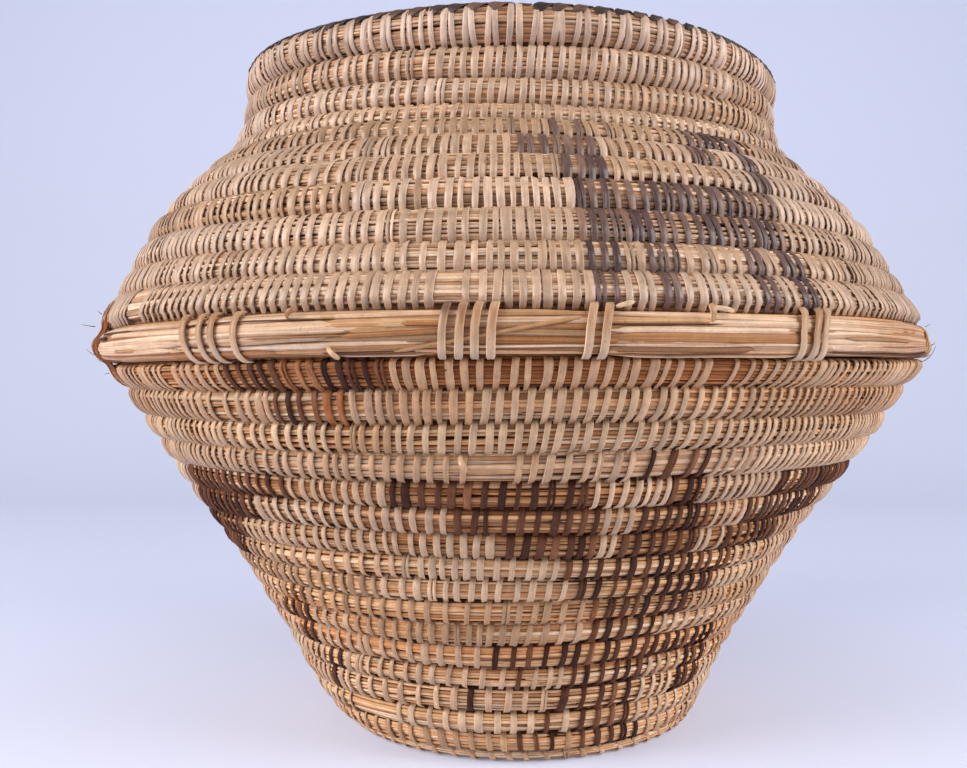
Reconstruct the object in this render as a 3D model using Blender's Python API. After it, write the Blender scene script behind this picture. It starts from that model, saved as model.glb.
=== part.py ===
"""Storage basket of sewn coils, with a bare straw ring round its belly.

Units are metres, +Z is up, the front is -Y, and the origin is the middle of the base on the floor.
Each coil is one open tube that lies level round the basket and climbs one row at the back.
"""
import math

import bmesh
import bpy
from mathutils import Vector

# Driving dimensions of the whole basket
BELLY_RADIUS = 0.1759
NECK_RADIUS = 0.1171
BASE_RADIUS = 0.0768
LOWER_WALL_HEIGHT = 0.1444
UPPER_WALL_HEIGHT = 0.0925
FOOT_HEIGHT = 0.0068
RIM_HEIGHT = 0.0148

# The room that the bare ring has between the walls, and how far the walls stand back from its face
BELLY_ROOM = 0.0162
LOWER_SET_BACK = 0.0037
UPPER_SET_BACK = 0.0033

# How far the foot stands out past the base, and the rim past the neck
FOOT_STEP = 0.0008
RIM_STEP = 0.0003

# Coils: how deep a row is through the wall, and the room left between rows
COIL_DEPTH = 0.0105
BASE_COIL_DEPTH = 0.0080
RIM_DEPTH = 0.0140
ROW_GAP = 0.0006
SEAT_CLEARANCE = 0.0003
START_BUTTON_RADIUS = 0.0118
START_BUTTON_HEIGHT = 0.0078
START_BUTTON_BEVEL = 0.0012
BASE_ROWS = 6
POINTS_PER_LOOP = 22
BASE_POINTS_PER_LOOP = 18

# The climb to the next row, as a share of a turn, and where a coil's thinned end stops
CLIMB_SHARE = 0.25
END_CUT_SHARE = 0.22

# The last even point keeps this share of a step from the thinned end
END_STEP_SHARE = 0.25

# A wall row is flat against its neighbours between these shares of its depth
FLAT_SHARES = (0.22, 0.78)

# The rows next to the bare ring turn their edges level over this many rows
LEVELLING_ROWS = 3.0
LEVEL_INWARD = Vector((-1.0, 0.0))

# Part of a row over which the wall's slope is read
SLOPE_STEP = 0.05

# Row heights from the bottom up, as shares of the mean row
LOWER_ROW_SHARES = (0.96, 1.04, 1.21, 0.96, 0.99, 0.89, 1.04, 0.86, 0.92, 0.96, 1.01, 0.94, 0.97, 1.03, 1.11, 1.11)
UPPER_ROW_SHARES = (1.16, 1.01, 1.20, 1.12, 0.96, 0.90, 0.77, 0.66, 1.06, 1.16)

# Outlines of the two walls: share of the wall's height, share of its change in radius
LOWER_WALL_SHARES = ((0.0, 0.0), (0.25, 0.25), (0.50, 0.485), (0.75, 0.75), (1.0, 1.0))
UPPER_WALL_SHARES = ((0.0, 0.0), (0.12, 0.08), (0.34, 0.28), (0.545, 0.55), (0.71, 0.84), (0.80, 0.945),
                     (0.90, 0.985), (1.0, 1.0))

STRAIGHT_WALL_SHARES = ((0.0, 0.0), (1.0, 1.0))

# The bare straw ring: two bundles whose ends meet under a wrap at each side
BUNDLE_HALF_DEPTH = 0.0047
BUNDLE_STEP_ANGLE = 4.0
BUNDLE_SIDES = 10
BUNDLE_END_GAP = 0.0006
JOINT_ANGLE = 62.0
TIE_THICKNESS = 0.0006
TIE_WIDTH = 0.0031
TIE_STEPS = 16
WRAP_WIDTH = 0.0120
WRAP_THICKNESS = 0.0012
STRAP_WIDTH = 0.0085
STRAP_TAIL_DROP = 0.0150
STRAP_TAIL_LEAN = 0.0042
STRAP_ARC_START = 80.0
STRAP_ARC_END = -20.0
STRAP_ARC_STEPS = 8

# A faceted band reaches inside its oval between its points, so it starts a little further out
FACET_ALLOWANCE = 0.00015

# Ties seen at the front, in degrees to the right of the front; the back has the same
TIE_ANGLES = (-35.4, -32.9, -31.3, -28.2, -6.2, -4.7, -3.2, -1.7, 7.1, 8.7, 29.9, 31.5, 33.2)

# Angles: a whole turn in degrees, and places round the basket in turns from the back
FULL_TURN = 360.0
QUARTER_TURN = 90.0
BACK_TURNS = 0.0
FRONT_TURNS = 0.5
QUARTER_TURNS = 0.25
SHARP_ANGLE = 40.0

MILLIMETRE = 0.001

STRAW_GOLD = (0.55, 0.40, 0.22)
STRAW_PALE = (0.66, 0.54, 0.35)
SPLINT_TAN = (0.60, 0.44, 0.26)
BARK_BROWN = (0.33, 0.19, 0.10)


def clear_scene():
    """Take every object of the starting scene away."""
    for item in list(bpy.data.objects):
        bpy.data.objects.remove(item, do_unlink=True)


def make_material(name, colour, roughness):
    """Make a dull, unpolished material of one colour."""
    material = bpy.data.materials.new(name)
    material.use_nodes = True
    shader = material.node_tree.nodes["Principled BSDF"]
    shader.inputs["Base Color"].default_value = (*colour, 1.0)
    shader.inputs["Roughness"].default_value = roughness
    shader.inputs["Metallic"].default_value = 0.0
    return material


def smooth_share(knots, x):
    """Read a smooth curve through the knots, which are pairs of rising x and y."""
    last = len(knots) - 1
    slopes = []
    for k in range(last + 1):
        before = knots[max(k - 1, 0)]
        after = knots[min(k + 1, last)]
        slopes.append((after[1] - before[1]) / (after[0] - before[0]))
    k = 0
    while k < last - 1 and x > knots[k + 1][0]:
        k += 1
    width = knots[k + 1][0] - knots[k][0]
    t = (x - knots[k][0]) / width
    rise = knots[k + 1][1] - knots[k][1]
    start = slopes[k] * width
    end = slopes[k + 1] * width
    return knots[k][1] + start * t + (3 * rise - 2 * start - end) * t * t + (start + end - 2 * rise) * t ** 3


def row_edges(row_shares):
    """Turn the rows' own shares into edges that run from 0 to 1 up the wall."""
    edges = [0.0]
    for share in row_shares:
        edges.append(edges[-1] + share / sum(row_shares))
    return edges


def wall_outline(foot, top, wall_shares, row_shares, belly_row=None):
    """Return a function that gives the wall's outer point, and the way through the wall, some rows up.

    Points are (radius, height). The way through is square to the wall, and turns level towards the
    row edge that meets the bare ring.
    """
    edges = row_edges(row_shares)

    def point(rows_up):
        row = max(0, min(int(rows_up), len(row_shares) - 1))
        height_share = edges[row] + (edges[row + 1] - edges[row]) * (rows_up - row)
        radius_share = smooth_share(wall_shares, height_share)
        return Vector((foot[0] + (top[0] - foot[0]) * radius_share, foot[1] + (top[1] - foot[1]) * height_share))

    def edge(rows_up):
        climb = point(rows_up + SLOPE_STEP) - point(rows_up - SLOPE_STEP)
        inward = Vector((-climb.y, climb.x)).normalized()
        if belly_row is not None:
            levelled = max(0.0, 1.0 - abs(rows_up - belly_row) / LEVELLING_ROWS)
            inward = inward.lerp(LEVEL_INWARD, levelled).normalized()
        return point(rows_up), inward

    return edge


def base_outline(inner_radius):
    """Return a function that gives the underside's (radius, 0), and the way up, some rows out."""
    pitch = (BASE_RADIUS - inner_radius) / BASE_ROWS

    def edge(rows_out):
        return Vector((inner_radius + pitch * rows_out, 0.0)), Vector((0.0, 1.0))

    return edge


def rows_climbed(turns):
    """Rows below the tube's lower edge after so many turns: level, with a climb at each whole turn."""
    nearest = round(turns)
    part = (turns - nearest) / CLIMB_SHARE
    return nearest - 0.5 + max(-0.5, min(0.5, part))


def coil_turns(rows, points_per_loop):
    """Turns at which a coil of so many rows has its points, between its two thinned ends."""
    first = -CLIMB_SHARE / 2 + CLIMB_SHARE * END_CUT_SHARE
    last = rows + CLIMB_SHARE / 2 - CLIMB_SHARE * END_CUT_SHARE
    step = 1.0 / points_per_loop
    start = math.ceil(first / step + END_STEP_SHARE)
    stop = math.floor(last / step - END_STEP_SHARE)
    inner = [k * step for k in range(start, stop + 1)]
    return [first] + inner + [last]


def place(radius, height, turns):
    """Put a (radius, height) point at an angle counted in turns from the back."""
    angle = math.radians(QUARTER_TURN) + math.radians(FULL_TURN) * turns
    return Vector((radius * math.cos(angle), radius * math.sin(angle), height))


def wall_section(low, high, depth):
    """Six-sided section of a wall row: flat towards its neighbours, ridged inside and outside."""
    lift = (high[0] - low[0]).normalized() * ROW_GAP / 2
    outer_ridge = (low[0] + high[0]) / 2
    inner_ridge = (low[0] + high[0] + (low[1] + high[1]) * depth) / 2
    low_flat = [low[0] + low[1] * depth * share + lift for share in FLAT_SHARES]
    high_flat = [high[0] + high[1] * depth * share - lift for share in FLAT_SHARES]
    return [outer_ridge, high_flat[0], high_flat[1], inner_ridge, low_flat[1], low_flat[0]]


def base_section(low, high, depth):
    """Six-sided section of a base row: flat on the floor and ridged towards its neighbours."""
    half_width = ((high[0] - low[0]).length - ROW_GAP) / 2
    centre = (low[0] + high[0]) / 2 + low[1] * depth / 2
    corners = ((1.0, 0.0), (0.5, 1.0), (-0.5, 1.0), (-1.0, 0.0), (-0.5, -1.0), (0.5, -1.0))
    return [centre + Vector((half_width * x, depth / 2 * y)) for x, y in corners]


def section_gap(first, second):
    """Least distance from the corners of either section to the sides of the other."""
    least = math.inf
    for corners, others in ((first, second), (second, first)):
        for corner in corners:
            for k, start in enumerate(others):
                side = others[(k + 1) % len(others)] - start
                share = max(0.0, min(1.0, (corner - start).dot(side) / side.length_squared))
                least = min(least, (corner - start - side * share).length)
    return least


def add_object(name, bm, material):
    """Finish a mesh with its faces pointing out and make it a named object."""
    bmesh.ops.recalc_face_normals(bm, faces=bm.faces)
    mesh = bpy.data.meshes.new(name)
    bm.to_mesh(mesh)
    bm.free()
    mesh.materials.append(material)
    mesh.shade_smooth()
    mesh.set_sharp_from_angle(angle=math.radians(SHARP_ANGLE))
    item = bpy.data.objects.new(name, mesh)
    bpy.context.collection.objects.link(item)
    return item


def sweep(name, rings, material, closed=False):
    """Join rings of points into one tube, capped at both ends or closed on itself."""
    bm = bmesh.new()
    loops = [[bm.verts.new(point) for point in ring] for ring in rings]
    count = len(loops[0])
    pairs = list(zip(loops, loops[1:]))
    if closed:
        pairs.append((loops[-1], loops[0]))
    else:
        bm.faces.new(loops[0])
        bm.faces.new(loops[-1][::-1])
    for first, second in pairs:
        for k in range(count):
            bm.faces.new((first[k], first[(k + 1) % count], second[(k + 1) % count], second[k]))
    return add_object(name, bm, material)


def make_coil(name, outline, rows, section, depth, points_per_loop, material):
    """Make one unbroken coil up an outline, and print its least gap to itself."""
    sections = []
    rings = []
    for turns in coil_turns(rows, points_per_loop):
        lower_edge = rows_climbed(turns)
        low = outline(max(lower_edge, 0.0))
        high = outline(min(lower_edge + 1.0, rows))
        corners = section(low, high, depth)
        sections.append(corners)
        rings.append([place(corner.x, corner.y, turns) for corner in corners])
    # The points of the next loop lie at the same angles, apart from the two thinned ends
    inner = sections[1:-1]
    gap = min(section_gap(a, b) for a, b in zip(inner, inner[points_per_loop:]))
    print(name, "least gap to itself in mm:", round(gap / MILLIMETRE, 3))
    return sweep(name, rings, material)


def make_start_button(material):
    """Make the tight knot of straw that the base coil starts from."""
    bm = bmesh.new()
    bmesh.ops.create_cone(bm, cap_ends=True, segments=BASE_POINTS_PER_LOOP, radius1=START_BUTTON_RADIUS,
                          radius2=START_BUTTON_RADIUS, depth=START_BUTTON_HEIGHT)
    rims = [edge for edge in bm.edges if edge.calc_face_angle() > math.radians(SHARP_ANGLE)]
    bmesh.ops.bevel(bm, geom=rims, offset=START_BUTTON_BEVEL, segments=1, affect="EDGES")
    button = add_object("base_start_button", bm, material)
    button.location.z = START_BUTTON_HEIGHT / 2
    return button


# Corners of the wall outlines as (radius, height), each from the pieces below it
LOWER_FOOT = (BASE_RADIUS + FOOT_STEP, FOOT_HEIGHT)
LOWER_TOP = (BELLY_RADIUS - LOWER_SET_BACK, FOOT_HEIGHT + LOWER_WALL_HEIGHT)
UPPER_FOOT = (BELLY_RADIUS - UPPER_SET_BACK, LOWER_TOP[1] + BELLY_ROOM)
UPPER_TOP = (NECK_RADIUS, UPPER_FOOT[1] + UPPER_WALL_HEIGHT)
RIM_TOP = (NECK_RADIUS + RIM_STEP, UPPER_TOP[1] + RIM_HEIGHT)

# The rim coil lies closer on the neck than the rows lie to each other
RIM_FOOT = (NECK_RADIUS, UPPER_TOP[1] - ROW_GAP + SEAT_CLEARANCE)

# The bundle's middle and half height follow from the room that the two walls leave
BUNDLE_MIDDLE = Vector((BELLY_RADIUS - BUNDLE_HALF_DEPTH, LOWER_TOP[1] + BELLY_ROOM / 2))
TIE_ROOM = TIE_THICKNESS + 2 * SEAT_CLEARANCE
BUNDLE_HALF_HEIGHT = BELLY_ROOM / 2 - TIE_ROOM - ROW_GAP / 2


def bundle_point(angle, growth):
    """Point on the bundle's oval at an angle from outward, with the oval grown all round."""
    turn = math.radians(angle)
    half = Vector((BUNDLE_HALF_DEPTH + growth, BUNDLE_HALF_HEIGHT + growth))
    return BUNDLE_MIDDLE + Vector((half.x * math.cos(turn), half.y * math.sin(turn)))


def make_bundle(name, middle_turns, half_angle, material):
    """Make one part of the bare straw ring, centred on an angle in turns from the back."""
    oval = [bundle_point(FULL_TURN * k / BUNDLE_SIDES, 0.0) for k in range(BUNDLE_SIDES)]
    half_span = half_angle / FULL_TURN - BUNDLE_END_GAP / 2 / (math.tau * BELLY_RADIUS)
    steps = round(2 * half_angle / BUNDLE_STEP_ANGLE)
    rings = []
    for k in range(steps + 1):
        turns = middle_turns + half_span * (2 * k / steps - 1)
        rings.append([place(corner.x, corner.y, turns) for corner in oval])
    return sweep(name, rings, material)


def band_rings(path, thickness, width, turns):
    """Four-cornered rings of a flat band that follows a (radius, height) path at one angle."""
    side = place(1.0, 0.0, turns + QUARTER_TURNS) * width / 2
    rings = []
    for point, outward in path:
        inner = place(point.x, point.y, turns)
        outer_point = point + outward * thickness
        outer = place(outer_point.x, outer_point.y, turns)
        rings.append([inner - side, inner + side, outer + side, outer - side])
    return rings


def oval_path(angles, growth):
    """Points and outward directions along the grown oval at the given angles."""
    path = []
    for angle in angles:
        turn = math.radians(angle)
        path.append((bundle_point(angle, growth), Vector((math.cos(turn), math.sin(turn)))))
    return path


def make_band(name, turns, thickness, width, material):
    """Make a flat band that closes round the bundle."""
    growth = SEAT_CLEARANCE / math.cos(math.pi / TIE_STEPS) + FACET_ALLOWANCE
    angles = [FULL_TURN * k / TIE_STEPS for k in range(TIE_STEPS)]
    rings = band_rings(oval_path(angles, growth), thickness, width, turns)
    return sweep(name, rings, material, closed=True)


def make_strap(name, turns, material):
    """Make the bark strap that lies over the ring's joint and hangs down the wall below it."""
    growth = SEAT_CLEARANCE + FACET_ALLOWANCE
    fall = STRAP_ARC_END - STRAP_ARC_START
    angles = [STRAP_ARC_START + fall * k / STRAP_ARC_STEPS for k in range(STRAP_ARC_STEPS + 1)]
    path = oval_path(angles, growth)
    tail_start, outward = path[-1]
    tail_end = tail_start + Vector((-STRAP_TAIL_LEAN, -STRAP_TAIL_DROP))
    path.append((tail_end, outward))
    rings = band_rings(path, WRAP_THICKNESS, STRAP_WIDTH, turns)
    return sweep(name, rings, material)


def build_basket():
    """Make every piece of the basket."""
    straw = make_material("grass_coil", STRAW_GOLD, 0.75)
    pale = make_material("bare_straw", STRAW_PALE, 0.60)
    splint = make_material("splint", SPLINT_TAN, 0.55)
    bark = make_material("bark_fibre", BARK_BROWN, 0.85)

    make_start_button(straw)
    base = base_outline(START_BUTTON_RADIUS + SEAT_CLEARANCE)
    make_coil("base_coil", base, BASE_ROWS, base_section, BASE_COIL_DEPTH, BASE_POINTS_PER_LOOP, straw)

    lower = wall_outline(LOWER_FOOT, LOWER_TOP, LOWER_WALL_SHARES, LOWER_ROW_SHARES, len(LOWER_ROW_SHARES))
    make_coil("lower_wall_coil", lower, len(LOWER_ROW_SHARES), wall_section, COIL_DEPTH, POINTS_PER_LOOP, straw)

    upper = wall_outline(UPPER_FOOT, UPPER_TOP, UPPER_WALL_SHARES, UPPER_ROW_SHARES, 0)
    make_coil("upper_wall_coil", upper, len(UPPER_ROW_SHARES), wall_section, COIL_DEPTH, POINTS_PER_LOOP, straw)

    rim = wall_outline(RIM_FOOT, RIM_TOP, STRAIGHT_WALL_SHARES, (1.0,))
    make_coil("rim_coil", rim, 1, wall_section, RIM_DEPTH, POINTS_PER_LOOP, straw)

    make_bundle("front_belly_bundle", FRONT_TURNS, JOINT_ANGLE, pale)
    make_bundle("rear_belly_bundle", BACK_TURNS, FULL_TURN / 2 - JOINT_ANGLE, pale)
    for side, middle in (("front", FRONT_TURNS), ("rear", BACK_TURNS)):
        for number, angle in enumerate(TIE_ANGLES, start=1):
            turns = middle + angle / FULL_TURN
            make_band(f"{side}_belly_tie_{number:02d}", turns, TIE_THICKNESS, TIE_WIDTH, splint)
    make_band("right_joint_wrap", FRONT_TURNS + JOINT_ANGLE / FULL_TURN, WRAP_THICKNESS, WRAP_WIDTH, bark)
    make_strap("left_joint_strap", FRONT_TURNS - JOINT_ANGLE / FULL_TURN, bark)


clear_scene()
build_basket()
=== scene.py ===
"""Storage basket dressed with its straws, splint stitches, bare belly ring, rim braid and bark strap.

Units are metres and degrees, +Z is up and the front is -Y. Bearings are degrees to the right of the
front, seen from outside. Section angles count round a coil: 0 faces out, 90 up and 180 in.
"""
import math
from collections import namedtuple
from dataclasses import dataclass

import bpy
import numpy as np
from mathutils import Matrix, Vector


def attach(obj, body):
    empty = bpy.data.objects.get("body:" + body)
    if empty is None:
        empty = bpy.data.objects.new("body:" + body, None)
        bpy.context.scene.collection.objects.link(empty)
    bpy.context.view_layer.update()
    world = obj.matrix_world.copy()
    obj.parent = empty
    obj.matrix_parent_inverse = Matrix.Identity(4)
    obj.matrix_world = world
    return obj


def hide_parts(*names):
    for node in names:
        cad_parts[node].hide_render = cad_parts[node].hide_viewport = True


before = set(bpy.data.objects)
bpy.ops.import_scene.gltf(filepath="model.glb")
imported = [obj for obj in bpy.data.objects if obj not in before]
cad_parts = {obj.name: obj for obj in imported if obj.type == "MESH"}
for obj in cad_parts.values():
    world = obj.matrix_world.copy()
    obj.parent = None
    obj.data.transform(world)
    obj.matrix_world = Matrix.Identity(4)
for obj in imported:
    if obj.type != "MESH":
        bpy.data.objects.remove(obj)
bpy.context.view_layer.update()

# Sizes of the modelled basket, from which every piece here takes its place
BELLY_RADIUS = 0.1759
NECK_RADIUS = 0.1171
BASE_RADIUS = 0.0768
LOWER_WALL_HEIGHT = 0.1444
UPPER_WALL_HEIGHT = 0.0925
FOOT_HEIGHT = 0.0068
RIM_HEIGHT = 0.0148
BELLY_ROOM = 0.0162
LOWER_SET_BACK = 0.0037
UPPER_SET_BACK = 0.0033
FOOT_STEP = 0.0008
RIM_STEP = 0.0003
COIL_DEPTH = 0.0105
BASE_COIL_DEPTH = 0.0080
RIM_DEPTH = 0.0140
START_BUTTON_RADIUS = 0.0118
START_BUTTON_HEIGHT = 0.0078
START_HOLE_RADIUS = 0.0012
START_ROWS = 2
BASE_SKIN = -0.0009
BASE_ROWS = 6
CLIMB_SHARE = 0.25
LEVELLING_ROWS = 3.0
BUNDLE_HALF_DEPTH = 0.0047
BUNDLE_HALF_HEIGHT = 0.0069
RING_SAG = 0.0004
RING_SLIMMING = 0.24
JOINT_BEARING = 62.0
JOINT_REACH = 12.0

LOWER_ROW_SHARES = (0.96, 1.04, 1.21, 0.96, 0.99, 0.89, 1.04, 0.86, 0.92, 0.96, 1.01, 0.94, 0.97, 1.03,
                    1.11, 1.11)
UPPER_ROW_SHARES = (1.16, 1.01, 1.20, 1.12, 0.96, 0.90, 0.77, 0.66, 1.06, 1.16)
LOWER_WALL_SHARES = ((0.0, 0.0), (0.25, 0.25), (0.50, 0.485), (0.75, 0.75), (1.0, 1.0))
UPPER_WALL_SHARES = ((0.0, 0.0), (0.12, 0.08), (0.34, 0.28), (0.545, 0.55), (0.71, 0.84), (0.80, 0.945),
                     (0.90, 0.985), (1.0, 1.0))
STRAIGHT_WALL_SHARES = ((0.0, 0.0), (1.0, 1.0))

# Corners of the walls as (radius, height)
LOWER_FOOT = (BASE_RADIUS + FOOT_STEP, FOOT_HEIGHT)
LOWER_TOP = (BELLY_RADIUS - LOWER_SET_BACK, FOOT_HEIGHT + LOWER_WALL_HEIGHT)
UPPER_FOOT = (BELLY_RADIUS - UPPER_SET_BACK, LOWER_TOP[1] + BELLY_ROOM)
UPPER_TOP = (NECK_RADIUS, UPPER_FOOT[1] + UPPER_WALL_HEIGHT)
RIM_TOP = (NECK_RADIUS + RIM_STEP, UPPER_TOP[1] + RIM_HEIGHT)
BELLY_MIDDLE = (BELLY_RADIUS - BUNDLE_HALF_DEPTH, LOWER_TOP[1] + BELLY_ROOM / 2 - RING_SAG)

# The pale paper under and behind the basket: two plain tones, and where one turns into the other. The nearer
# is lighter as painted light, the further darker as painted shade
PAPER_NEAR_LIT_TONE = (0.66, 0.70, 0.86)
PAPER_FAR_SHADED_TONE = (0.56, 0.60, 0.74)
PAPER_WAY = (0.0, 0.5)
PAPER_GLOW = 0.15
PAPER_ROUGHNESS = 0.9
PAPER_FRONT = -2.0
PAPER_FLAT_END = 0.7
PAPER_BEND = 0.6
PAPER_TOP = 2.5
PAPER_HALF_WIDTH = 3.0
# Light from all round, and the colour the camera sees above the paper
WORLD_LIGHT = (0.372, 0.376, 0.40)
WORLD_SEEN = (0.56, 0.58, 0.70)
# Lamps: name, place, power and colour
LAMPS = (
    ("left_softbox", (-1.20, -0.60, 0.72), 23.0, (1.0, 0.96, 0.95)),
    ("right_softbox", (1.20, -0.52, 0.70), 19.0, (1.0, 0.97, 0.97)),
)
LAMP_AIM = (0.0, 0.0, 0.14)
LAMP_SIZE = 0.9

# The picture's frame and the place of the camera that took it
IMAGE_WIDTH = 967
IMAGE_HEIGHT = 768
FOCAL_PIXELS = 1000.0
AXIS_COLUMN = 511.0
HORIZON_LINE = 375.0
SENSOR_WIDTH = 36.0
CAMERA_PLACE = (0.0, -0.455, 0.1467)
CLIP_START = 0.01

MILLIMETRE = 0.001
FULL_TURN = 360.0
QUARTER_TURN = 90.0
FRONT_TURNS = 0.5
JOINT_TURNS = JOINT_BEARING / FULL_TURN
TABLE_STEP = 0.02
SLOPE_STEP = 0.05
ROUNDNESS = 0.80
CELL_MARGIN = 0.06
TINY = 1e-12

# Colours are linear
SPLINT_TONES = ((0.63, 0.42, 0.27), (0.70, 0.50, 0.335), (0.59, 0.37, 0.215), (0.50, 0.30, 0.16))
SPLINT_CHANCES = (0.42, 0.30, 0.20, 0.08)
FADED_SPLINT_TONES = ((0.58, 0.42, 0.31), (0.645, 0.49, 0.385), (0.53, 0.37, 0.255), (0.455, 0.305, 0.195))
DARK_TONES = ((0.115, 0.046, 0.026), (0.170, 0.072, 0.037), (0.065, 0.026, 0.017), (0.245, 0.108, 0.053))
FADED_DARK_TONES = ((0.15, 0.088, 0.075), (0.205, 0.127, 0.101), (0.095, 0.053, 0.051),
                    (0.27, 0.162, 0.114))
DARK_CHANCES = (0.38, 0.24, 0.24, 0.14)
RED_TONES = ((0.40, 0.155, 0.060), (0.46, 0.20, 0.085), (0.33, 0.12, 0.050))
RED_CHANCES = (0.4, 0.4, 0.2)
BROWN_TONES = ((0.36, 0.19, 0.09), (0.28, 0.14, 0.07), (0.44, 0.26, 0.13))
BROWN_CHANCES = (0.4, 0.3, 0.3)
RUST_TONES = ((0.165, 0.068, 0.038), (0.225, 0.100, 0.055), (0.115, 0.046, 0.028))
STRAW_TONES = ((0.61, 0.37, 0.19), (0.73, 0.505, 0.31), (0.44, 0.22, 0.096), (0.81, 0.63, 0.44))
STRAW_CHANCES = (0.38, 0.28, 0.20, 0.14)
FADED_TONES = ((0.61, 0.42, 0.265), (0.70, 0.52, 0.365), (0.45, 0.27, 0.15), (0.76, 0.61, 0.455))
RING_TONES = ((0.56, 0.34, 0.175), (0.67, 0.45, 0.27), (0.42, 0.21, 0.09), (0.76, 0.57, 0.39))
RING_CHANCES = (0.36, 0.30, 0.18, 0.16)
WRAP_TONES = ((0.46, 0.27, 0.125), (0.36, 0.18, 0.075), (0.57, 0.37, 0.20))
BARK_TONES = ((0.24, 0.085, 0.035), (0.36, 0.16, 0.07), (0.13, 0.05, 0.028))
BARK_CHANCES = (0.45, 0.35, 0.20)
BRAID_TONES = ((0.062, 0.033, 0.026), (0.110, 0.060, 0.042), (0.034, 0.020, 0.018))
BRAID_CHANCES = (0.5, 0.3, 0.2)
# Painted shade: the cores show only in the gaps between straws, and are dark there for the shade
CORE_SHADE_TONE = (0.070, 0.030, 0.012)
STREAK_TINT = (0.56, 0.39, 0.27)
# Painted shade along the edges of straws, in the troughs between them
EDGE_SHADE_TINT = (0.34, 0.185, 0.10)
# Painted shade: a warmer, darker middle on splints and ties
CENTRE_SHADE_TINT = (1.0, 0.96, 0.87)
PLAIN_TINT = (1.0, 1.0, 1.0)
# How dirt and painted shade warm the splint as they darken it
GRIME_AND_SHADE_TINT = (0.7, 1.0, 1.25)
# How lightness varies from one draw to the next, and within a run of stitches from one splint
TONE_SPREAD = 0.10
RUN_SPREAD = 0.06
RUN_STITCHES = 16.0
# Fibres: how far apart strips lie in the noise, the noises' scales, and the ranges of noise, or of the way
# to the edge, over which a shade comes in
STRIP_OFFSET = 61.0
PATCH_SCALE = 260.0
SPECK_SCALE = 1100.0
SPECK_DEPTH = 0.25
STREAK_RANGE = (0.32, 0.62)
PATCH_RANGE = (0.3, 0.7)
SPECK_RANGE = (0.62, 0.74)
# Where painted highlight on the edges of splints and ties, and painted shade in their middles, come in
HIGHLIGHT_EDGE_RANGE = (0.20, 0.42)
MIDDLE_SHADE_SHARE = -0.6
CENTRE_SHADE_RANGE = (0.15, 0.42)
# Where the painted shade along the edges of straws comes in
EDGE_SHADE_RANGE = (0.22, 0.46)
ROUGHNESS_SPREAD = 0.08
RELIEF = 0.0004
SHADES = {
    "pale": (0.80, 0.60, 0.42),
    "cream": (0.76, 0.55, 0.37),
    "honey": (0.64, 0.42, 0.245),
    "gold": (0.54, 0.32, 0.155),
    "grey": (0.47, 0.29, 0.15),
    "amber": (0.43, 0.205, 0.075),
    "tan": (0.35, 0.17, 0.070),
    "umber": (0.16, 0.062, 0.022),
    # Painted shade: a near-black tone for the dark cavity at the ring's cut end
    "painted_hollow_shade": (0.030, 0.014, 0.008),
}
TIE_TONE = (0.70, 0.51, 0.35)
TIE_MIDDLE_TONE = (0.42, 0.21, 0.085)
DYES = {
    "dark": (DARK_TONES, DARK_CHANCES),
    "faded": (FADED_DARK_TONES, DARK_CHANCES),
    "red": (RED_TONES, RED_CHANCES),
    "rust": (RUST_TONES, BROWN_CHANCES),
    "brown": (BROWN_TONES, BROWN_CHANCES),
}

# Stitch pitch of each row, from the bottom row up
LOWER_PITCHES = (0.0061, 0.0060, 0.0059, 0.0058, 0.0058, 0.0056, 0.0055, 0.0052, 0.0051, 0.0050, 0.0049,
                 0.0047, 0.0046, 0.0046, 0.0046, 0.0046)
UPPER_PITCHES = (0.0038, 0.0038, 0.0038, 0.0038, 0.0040, 0.0040, 0.0040, 0.0039, 0.0039, 0.0039)
RIM_PITCH = 0.0039
BASE_PITCH = 0.0062
BUTTON_PITCHES = (0.0040, 0.0048)

# How much closer the stitches of the lower wall lie by bearing, in full from the second of two rows up
CROWDING = ((-180, 1.0), (-40, 1.0), (0, 0.98), (14, 1.0), (22, 1.08), (30, 1.25), (45, 1.32), (75, 1.3),
            (110, 1.1), (180, 1.0))
CROWDED_ROWS = (5, 12)
CROWDING_STRENGTHS = (0.3, 1.0)
CROWDING_MOVES = 10
CROWDING_SAMPLES = 360
# How strongly chance favours tight or wide places, and how the stitches of a row even out
CHOICE_POWER = 10
DOUBLING_SHARE = 0.45
EVENING_ROUNDS = 6
EVENING_SHARE = 0.2

# Dyed stitches of the front by row: first and last bearing, and the dye where it isn't the wall's usual
# one. The back has the same
LOWER_FIGURES = (
    ((0.5, 2.6), (4.4, 6.7), (9.1, 13.1), (15.0, 37.3)),
    ((7.1, 8.7), (9.7, 11.8), (14.0, 31.7)),
    ((-10.3, -9.0), (-7.2, -5.4), (-3.9, -1.3), (8.5, 31.0), (42.0, 52.0), (-50.1, -45.3)),
    ((-4.9, -1.8), (0.0, 2.0), (11.2, 30.5), (41.0, 51.3), (-47.3, -42.0)),
    ((-6.1, 49.6), (-51.4, -45.6)),
    ((14.1, 30.2), (-55.1, -46.0)),
    ((12.8, 33.7), (-50.1, -43.0, "brown")),
    ((10.0, 36.4),),
    ((6.9, 39.3), (-80.0, -53.4)),
    ((-1.0, 12.2), (15.4, 28.7), (34.3, 48.1), (-84.0, -48.4)),
    ((-8.5, 11.5), (16.6, 28.9), (35.8, 59.3), (-62.0, -40.1)),
    ((-57.5, -31.5, "rust"), (-15.8, 9.2), (20.5, 26.0), (39.3, 80.0)),
    ((15.4, 26.1),),
    (),
    ((-28.5, -21.9), (-21.9, -18.3, "red")),
    ((-33.0, -25.7), (-25.4, -19.8, "red"), (-19.6, -13.0)),
)
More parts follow.
